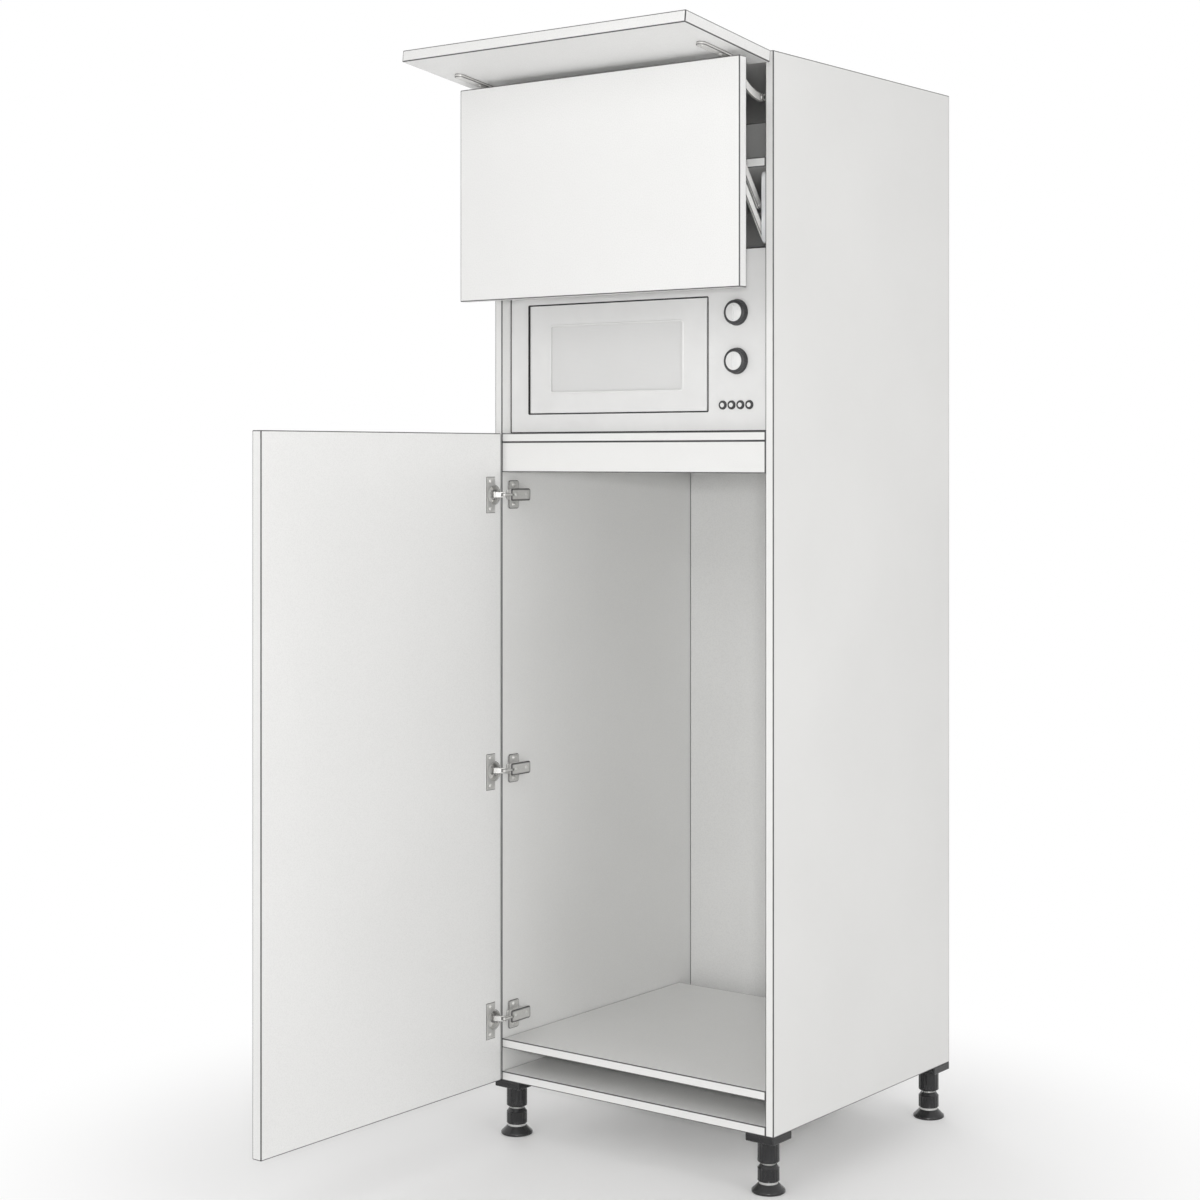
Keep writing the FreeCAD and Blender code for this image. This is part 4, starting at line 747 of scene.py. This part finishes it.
def painted_finish(name, tone, shade, roughness, peel):
    """Baked enamel on sheet steel: a faint orange peel, and thinner, darker paint along its edges."""
    finish, tree, shader, place = blank_finish(name, roughness)
    dimple = speckle(tree, place, peel)
    cloud = speckle(tree, place, 12, 3.0)
    base = graded(tree, cloud, (0.3, shade), (0.7, tone))
    thin = tuple(0.72 * part for part in tone)
    plugged(tree, shader, {"Coat Weight": 0.25, "Coat Roughness": 0.15})
    surfaced(tree, shader, base, thin, cloud, (roughness - 0.05, roughness + 0.1), dimple, 0.1 * MM, 0.5)
    return finish


def side_plate(node, round_off, thick, edge):
    """A flat pressing as deep and as tall as its node, drawn about zero."""
    _, deep, tall = np.ptp(corners(node), axis=0)
    return pressed(rounded_plan(deep, tall, round_off), thick, edge)


def on_side(shell, node, side, back=0, up=0, rise=0):
    """A shell stood on a paired node's outer face: so far back and up from its middle, and raised inwards."""
    _, y, z = corners(node).mean(axis=0)
    foot = (side * (corners(node)[1][0] - rise), y + back, z + up)
    return laid(shell, foot, BACKWARD, side * UPWARD, -side * RIGHTWARD)


def spanned(start, end):
    """The length between two pins seen from the side, and the directions along and across it."""
    reach = (end - start) * (0, 1, 1)
    long = np.linalg.norm(reach)
    return long, reach / long, np.cross(RIGHTWARD, reach / long)


def link_pair(node, shell, thick, start, forward, over):
    """A flat link from a pin on each side of the cabinet: its outer face is where the node's is."""
    outer = corners(node)[1][0]
    flat = start * (0, 1, 1)
    return [
        laid(shell, flat + (side * outer - max(side, 0) * thick) * RIGHTWARD, forward, over, RIGHTWARD)
        for side in SIDES
    ]


case_paint = painted_finish("grey_case_paint", (0.72, 0.73, 0.74), (0.68, 0.69, 0.70), 0.35, 700)
CASE_THICK, EMBOSS_BACK, EMBOSS_SUNK, CASE_SCREW_SUNK = mm(10, 20, 0.4, 0.9)
CASE_SCREWS = mm((66, 48), (66, -48), (-35, 50), (-35, -52))
case = side_plate("lift_housings", 10 * MM, CASE_THICK, 1.6 * MM)
emboss = pressed(rounded_plan(*mm(84, 64, 14)), 1.2 * MM, 0.7 * MM)
case_screw = screw_head(4 * MM, 1.3 * MM)
case_shells = []
for side in SIDES:
    case_shells.append(on_side(case, "lift_housings", side))
    case_shells.append(on_side(emboss, "lift_housings", side, EMBOSS_BACK, rise=CASE_THICK - EMBOSS_SUNK))
    for back, up in CASE_SCREWS:
        case_shells.append(on_side(case_screw, "lift_housings", side, back, up, CASE_THICK - CASE_SCREW_SUNK))
fitted(skinned("painted_lift_housings", case_shells), case_paint, "carcass", "lift_case", "lift_housings")

LIFT_ARM_WIDE, LIFT_ARM_THICK = mm(13, 4)
arm_long, *arm_lie = spanned(pivots["front_lift"], pivots["front_level"])
lift_arm = pressed(eyed_plan(arm_long, LIFT_ARM_WIDE / 2, 17), LIFT_ARM_THICK, 0.9 * MM)
for level, joint in (("lower", "front_lift"), ("upper", "upper_arm_swing")):
    node = f"lift_arms_{level}"
    arm_pair = link_pair(node, lift_arm, LIFT_ARM_THICK, pivots[joint], *arm_lie)
    fitted(skinned("pressed_" + node, arm_pair), nickel, node, "hinge_steel", node)

BRACKET_FOOT, FOOT_THICK, BRACKET_THICK = mm(22, 2.5, 3)
BRACKET_SCREWS, BRACKET_SCREW_IN, BRACKET_SCREW_SUNK = mm(-26, 0, 26), 3 * MM, 0.2 * MM
bracket_low, bracket_high = corners("lift_brackets")
bracket_tall = bracket_high[2] - bracket_low[2]
web = side_plate("lift_brackets", 5 * MM, BRACKET_THICK, 0.6 * MM)
bracket_foot = pressed(rounded_plan(BRACKET_FOOT, bracket_tall, 3 * MM), FOOT_THICK, 0.6 * MM)
bracket_shells = []
for side in SIDES:
    middle = np.array([
        side * (bracket_high[0] - BRACKET_FOOT / 2), bracket_low[1], bracket_low[2] + bracket_tall / 2,
    ])
    bracket_shells.append(on_side(web, "lift_brackets", side))
    bracket_shells.append(laid(bracket_foot, middle, -RIGHTWARD, UPWARD, BACKWARD))
    for up in BRACKET_SCREWS:
        spot = middle + (-side * BRACKET_SCREW_IN, FOOT_THICK - BRACKET_SCREW_SUNK, up)
        bracket_shells.append(laid(board_screw, spot, -RIGHTWARD, UPWARD, BACKWARD))
fitted(skinned("pressed_lift_brackets", bracket_shells), nickel, "lift_front", "hinge_steel", "lift_brackets")

# Top flap
# The upper front, hung on two concealed hinges under the top panel and pushed up by a stay on each side.
# A steel bar screwed to its inner face ends in the lug that the stay's curved link takes hold of.
FLAP_SWING = math.radians(97)
FLAP_CLOSED = np.array([[0, 0, -1], [0, -1, 0], [-1, 0, 0]], float)
FLAP_OPEN = np.array([
    [0, -math.sin(FLAP_SWING), -math.cos(FLAP_SWING)],
    [0, -math.cos(FLAP_SWING), math.sin(FLAP_SWING)],
    [-1, 0, 0],
])
FLAP_TALL, FRONT_THICK, FLAP_HINGES = 244.5 * MM, 20 * MM, mm(-180, 180)
flap_seats = hinge_seats("flap", FLAP_CLOSED, FLAP_OPEN, FLAP_HINGES, 0)
flap_edge = (flap_seats[0][1] + flap_seats[1][1]) / 2
flap_left, flap_right = corners("flap_panel")[:, 0]
flap_board = slab((0, FRONT_GAP, flap_left), (FLAP_TALL, FRONT_GAP + FRONT_THICK, flap_right))
flap_panel = skinned("lacquered_flap_panel", [laid(flap_board, flap_edge, *FLAP_OPEN)])
fitted(drilled(flap_panel, cup_wells(flap_seats, FLAP_OPEN)), lacquer, "flap", "front_board", "flap_panel")
hinge_set("flap", flap_seats, FLAP_CLOSED, FLAP_OPEN)

BAR_WIDE, BAR_THICK, BAR_START, BAR_END = mm(18, 5, 40, 148)
BAR_SCREWS, BAR_SCREW_SUNK = mm(84, 136), 0.3 * MM
LUG_ROUND, LUG_THICK, STAY_PIN_DOWN, STAY_PIN_BEHIND = mm(6, 6, 56, 9)
bar = pressed(rounded_plan(BAR_END - BAR_START, BAR_WIDE, 8.95 * MM), BAR_THICK, 1.0 * MM)
bar_screw = screw_head(4 * MM, 1.5 * MM)
bar_lug = pressed(eyed_plan(STAY_PIN_BEHIND, LUG_ROUND), LUG_THICK, 0.7 * MM)
to_edge, to_out, _ = FLAP_OPEN
bar_face = flap_edge + FRONT_GAP * to_out
bar_outer = corners("flap_rails")[1][0]
bar_shells = []
for side in SIDES:
    middle = bar_face + side * (bar_outer - BAR_WIDE / 2) * RIGHTWARD
    lug_foot = bar_face + (side * bar_outer - max(side, 0) * LUG_THICK) * RIGHTWARD + STAY_PIN_DOWN * to_edge
    bar_shells.append(laid(bar, middle + (BAR_START + BAR_END) / 2 * to_edge, to_edge, RIGHTWARD, -to_out))
    bar_shells.append(laid(bar_lug, lug_foot, -to_out, -to_edge, RIGHTWARD))
    for reach in BAR_SCREWS:
        spot = middle + reach * to_edge - (BAR_THICK - BAR_SCREW_SUNK) * to_out
        bar_shells.append(laid(bar_screw, spot, to_edge, RIGHTWARD, -to_out))
fitted(skinned("pressed_flap_rails", bar_shells), nickel, "flap", "hinge_steel", "flap_rails")

# Flap stay
# On each side a short lever on a spring case and a bowed link from it to the flap's bar.
# The link is bowed downward to pass under the hinge as the flap comes up.


def bowed_plan(long, bow, wide, steps=25):
    """The outline of a link along X whose middle line sags by bow along a circle, with round ends.

    The circle through both ends and the lowest point has the radius (long squared / 4 + bow squared) / 2 bow.
    """
    radius = (long ** 2 / 4 + bow ** 2) / (2 * bow)
    half = math.asin(long / 2 / radius)
    down = -math.pi / 2
    middle = (long / 2, radius - bow)
    outer = arc(radius + wide / 2, down - half, down + half, steps, middle)
    inner = arc(radius - wide / 2, down + half, down - half, steps, middle)
    far = arc(wide / 2, down + half, half - down, 11, (long, 0))[1:-1]
    near = arc(wide / 2, -down - half, -3 * down - half, 11)[1:-1]
    return np.concatenate((outer, far, inner, near))


STAY_WIDE, STAY_THICK, STAY_BOW, STAY_EDGE = mm(14, 4, 13, 0.8)
stay_case = side_plate("stay_housings", 9 * MM, 8 * MM, 1.4 * MM)
stay_cases = [on_side(stay_case, "stay_housings", side) for side in SIDES]
fitted(skinned("painted_stay_housings", stay_cases), case_paint, "carcass", "lift_case", "stay_housings")

elbow = pivots["stay_link_level"]
lever_long, *lever_lie = spanned(pivots["stay_lever_swing"], elbow)
lever = pressed(eyed_plan(lever_long, STAY_WIDE / 2, 17), STAY_THICK, STAY_EDGE)
levers = link_pair("stay_levers", lever, STAY_THICK, pivots["stay_lever_swing"], *lever_lie)
fitted(skinned("pressed_stay_levers", levers), nickel, "stay_levers", "hinge_steel", "stay_levers")

hand = bar_face + STAY_PIN_DOWN * to_edge - STAY_PIN_BEHIND * to_out
link_long, link_forward, link_over = spanned(elbow, hand)
stay_link = pressed(bowed_plan(link_long, STAY_BOW, STAY_WIDE), STAY_THICK, STAY_EDGE)
stay_links = link_pair("stay_links", stay_link, STAY_THICK, elbow, link_forward, -link_over)
fitted(skinned("pressed_stay_links", stay_links), nickel, "stay_links", "hinge_steel", "stay_links")

# Microwave body
# Sheet steel: a pale enamelled casing on four rubber feet, and an enamelled cavity spot-welded in its mouth.
# The motor under the cavity turns the plate, and the control unit sits behind the fascia.
casing_enamel = painted_finish("pale_casing_enamel", (0.72, 0.72, 0.72), (0.68, 0.68, 0.68), 0.4, 500)
cavity_enamel = painted_finish("pale_cavity_enamel", (0.72, 0.72, 0.70), (0.68, 0.68, 0.66), 0.3, 900)
# dark plastic; on the knobs' skirts its dark colour is also painted shade for the knobs' sides
control_plastic = moulded_finish(
    "dark_control_plastic_and_knob_shade", (0.03, 0.03, 0.032), (0.07, 0.07, 0.072), 0.38, 1500, 0.00006,
)
coated("mw_casing", casing_enamel)
coated("mw_turntable_motor", casing_enamel)
coated("mw_cavity", cavity_enamel)
coated("mw_control_unit", control_plastic)
coated("mw_feet", control_plastic)

# Turntable
# Pressed glass: a flat plate with a raised rim, and shallow rings pressed into its upper face.
# Its hub drops over the motor's shaft, so the plate lifts out for washing.
plate_glass, tree, shader, place = blank_finish("pressed_plate_glass", 0.08)
plugged(tree, shader, {"Base Color": (0.86, 0.91, 0.90, 1), "Transmission Weight": 0.85, "IOR": 1.5})
ripple = speckle(tree, place, 60)
plugged(tree, shader, {"Roughness": ranged(tree, ripple, 0.04, 0.14)})
raised(tree, shader, ripple, 0.2 * MM, 0.3)
GLASS_THICK, HUB, SHAFT, GLASS_WELL, RING_RISE = mm(5, 14, 4.2, 1.6, 0.5)
RINGS = 6
turn_low, turn_high = corners("mw_turntable")
hub_low, glass_low, glass_top = turn_low[2], turn_high[2] - GLASS_THICK, turn_high[2]
glass_round = (turn_high[0] - turn_low[0]) / 2
rings_out = np.linspace(glass_round - 12 * MM, 20 * MM, 36)
rings_up = RING_RISE * np.cos(rings_out / glass_round * 2 * math.pi * RINGS)
glass_plate = np.concatenate((
    [(SHAFT, hub_low), (HUB - 1 * MM, hub_low), (HUB, hub_low + 1 * MM), (HUB, glass_low),
     (glass_round - 2 * MM, glass_low), (glass_round, glass_low + 2 * MM), (glass_round, glass_top - 1 * MM),
     (glass_round - 1 * MM, glass_top), (glass_round - 4 * MM, glass_top),
     (glass_round - 9 * MM, glass_top - GLASS_WELL)],
    np.stack((rings_out, glass_top - GLASS_WELL + rings_up), axis=-1),
    [(2 * MM, glass_top - 1.4 * MM)],
))
turntable = turned(glass_plate, (turn_low + turn_high) / 2 * (1, 1, 0), points=96)
fitted(skinned("pressed_turntable", [turntable]), plate_glass, "mw_turntable", "plate_glass", "mw_turntable")

# Microwave front
# A white moulded fascia fills the bay. Its door hangs on two pins at the left and has a screened window.
# A soft bead runs round the window where the pane is snapped in. Dark rubber strips line the door's opening
# and close the joint to the boards, each with a thin lip that laps over the fascia.
fascia_plastic = moulded_finish(
    "white_fascia_plastic", (0.74, 0.74, 0.735), (0.69, 0.69, 0.685), 0.3, 1200, 0.00004,
)
coated("mw_fascia", fascia_plastic)
coated("mw_door_frame", fascia_plastic)

# dots of the metal screen behind the pane, at their real pitch
SCREEN_PITCH = 2.2 * MM
screened, tree, shader, place = blank_finish("screened_oven_glass", 0.06)
cells = wired(tree, "TexVoronoi", {"Vector": place, "Scale": 1 / SCREEN_PITCH, "Randomness": 0.0})
dots = graded(tree, cells.outputs["Distance"], (0.30, (0.36, 0.36, 0.36)), (0.42, (0.66, 0.66, 0.655)))
haze = speckle(tree, place, 9, 3.0)
tint = graded(tree, haze, (0.3, (0.64, 0.64, 0.635)), (0.7, (0.68, 0.68, 0.675)))
pane = blended(tree, 0.6, tint, dots)
plugged(tree, shader, {"Base Color": pane, "Roughness": ranged(tree, haze, 0.04, 0.12)})
plugged(tree, shader, {"Coat Weight": 0.6, "Coat Roughness": 0.03})
coated("mw_door_glass", screened)


def bead(low, high, section, round_off):
    """A hoop round a rectangle in the front's plane: its small section is carried along the sides.

    Each ring is the rectangle's outline, grown by the section's out and set forward by its forward.
    """
    middle, span = (low + high) / 2, high - low
    rings = []
    for out, forward in section:
        outline, _ = corner_ring(span[0] + 2 * out, span[2] + 2 * out, round_off + out, 0.5 * MM)
        rings.append(np.insert(outline, 1, -forward, axis=1) + (middle[0], low[1], middle[2]))
    return np.array(rings + rings[:1])


WINDOW_MARGIN = mm(50, 0, 36)
BEAD_WIDE, BEAD_RISE, BEAD_ROUND = mm(1.8, 0.8, 5)
door_low, door_high = corners("mw_door_frame")
around = np.linspace(0, 2 * math.pi, 12, endpoint=False)
bead_section = np.stack((BEAD_WIDE * np.cos(around), BEAD_RISE * np.sin(around)), axis=-1)
window_bead = bead(door_low + WINDOW_MARGIN, door_high - WINDOW_MARGIN, bead_section, BEAD_ROUND)
fitted(skinned("window_bead", [window_bead]), fascia_plastic, "mw_door", "oven_white")

# strips of the seal: one inside the door's opening, one round the fascia
seal_rubber = moulded_finish(
    "dark_seal_rubber", (0.02, 0.02, 0.021), (0.04, 0.04, 0.041), 0.55, 1600, 0.00005,
)
SEAL, SEAL_DEEP, LAP, LAP_RISE, SEAL_ROUND = mm(0.8, 10, 1.2, 0.5, 1.5)
DOOR_GAP = mm(1.5, 0, 1.5)
fascia_low, fascia_high = corners("mw_fascia")
fascia_face = fascia_low[1]
opening_low, opening_high = door_low - DOOR_GAP, door_high + DOOR_GAP
opening_low[1] = fascia_face
strip = np.array([(SEAL, LAP_RISE), (-LAP, LAP_RISE), (-LAP, 0), (0, 0), (0, -SEAL_DEEP), (SEAL, -SEAL_DEEP)])
seals = [
    bead(opening_low, opening_high, strip * (-1, 1), SEAL_ROUND),
    bead(fascia_low, fascia_high, strip, SEAL_ROUND),
]
fitted(skinned("door_seal", seals), seal_rubber, "carcass", "control_plastic")

# The skirt's dark colour is partly painted shade: it stands for the shade on each knob's side.
# Knobs and push buttons
# Each knob is a dark fluted skirt with a pale cap pressed into its face, and a ridge to turn it by.
# The buttons are dark caps with a pale disc let into each, and move in holes of the fascia.
control_white = moulded_finish(
    "pale_cap_plastic", (0.76, 0.76, 0.755), (0.66, 0.66, 0.66), 0.28, 1300, 0.00004,
)
RIDGE_LONG, RIDGE_RISE, RIDGE_SUNK, CAP, FLUTE = mm(22, 2.2, 0.6, 15.8, 0.6)
KNOB_RIDGE, KNOB_GAP = mm(3, 0.3)
ridge = pressed(eyed_plan(RIDGE_LONG, 2.2 * MM), RIDGE_RISE, 0.8 * MM)
for knob in ("mw_knob_power", "mw_knob_timer"):
    knob_low, knob_high = corners(knob)
    wide, centre = (knob_high[0] - knob_low[0]) / 2, (knob_low + knob_high) / 2 * (1, 0, 1)
    face, back = knob_low[1] + KNOB_RIDGE, fascia_face - KNOB_GAP
    skirt = [
        (4 * MM, back, 0), (wide - 0.8 * MM, back, 0), (wide, back - 0.8 * MM, 0),
        (wide - 0.3 * MM, back - 2 * MM, 0), (wide - 0.6 * MM, back - 3 * MM, FLUTE),
        (wide - 1.6 * MM, face + 2.6 * MM, FLUTE), (wide - 2.0 * MM, face + 1.4 * MM, 0),
        (wide - 3.0 * MM, face + 0.4 * MM, 0), (CAP + 1.4 * MM, face, 0), (CAP, face + 0.5 * MM, 0),
        (2 * MM, face + 0.5 * MM, 0),
    ]
    # the skirt takes the dark plastic, partly as painted shade on the knob's side
    skirts = [turned(skirt, centre, axis=1, flutes=24, points=120)]
    fitted(skinned("skirt_" + knob, skirts), control_plastic, knob, "control_plastic", knob)
    cap = [
        (2 * MM, face + 0.6 * MM), (CAP - 0.2 * MM, face + 0.6 * MM), (CAP - 0.3 * MM, face - 0.3 * MM),
        (CAP - 1.2 * MM, face - 0.8 * MM), (2 * MM, face - 1.0 * MM),
    ]
    ridge_foot = centre + (0, face - RIDGE_SUNK, -RIDGE_LONG / 2)
    caps = [turned(cap, centre, axis=1), laid(ridge, ridge_foot, UPWARD, RIGHTWARD, -BACKWARD)]
    fitted(skinned("cap_" + knob, caps), control_white, knob, "control_white")

BUTTON, BUTTON_DISC, BUTTON_STOP, STOP_THICK = mm(7.5, 4.1, 8.5, 0.4)
stop = fascia_face + 3.6 * MM
for count in range(1, 5):
    button = f"mw_button_{count}"
    button_low, button_high = corners(button)
    face, centre = button_low[1], (button_low + button_high) / 2 * (1, 0, 1)
    cap = [
        (2 * MM, stop), (BUTTON_STOP, stop), (BUTTON_STOP, stop - STOP_THICK), (BUTTON, stop - STOP_THICK),
        (BUTTON, face + 1.1 * MM), (BUTTON - 0.4 * MM, face + 0.4 * MM), (BUTTON - 1.3 * MM, face),
        (BUTTON_DISC + 0.3 * MM, face), (BUTTON_DISC, face + 0.4 * MM), (2 * MM, face + 0.4 * MM),
    ]
    caps = [turned(cap, centre, axis=1)]
    fitted(skinned("cap_" + button, caps), control_plastic, button, "control_plastic", button)
    disc = [
        (2 * MM, face + 0.5 * MM), (BUTTON_DISC - 0.1 * MM, face + 0.5 * MM),
        (BUTTON_DISC - 0.3 * MM, face + 0.15 * MM), (2 * MM, face + 0.05 * MM),
    ]
    fitted(skinned("disc_" + button, [turned(disc, centre, axis=1)]), control_white, button, "control_white")
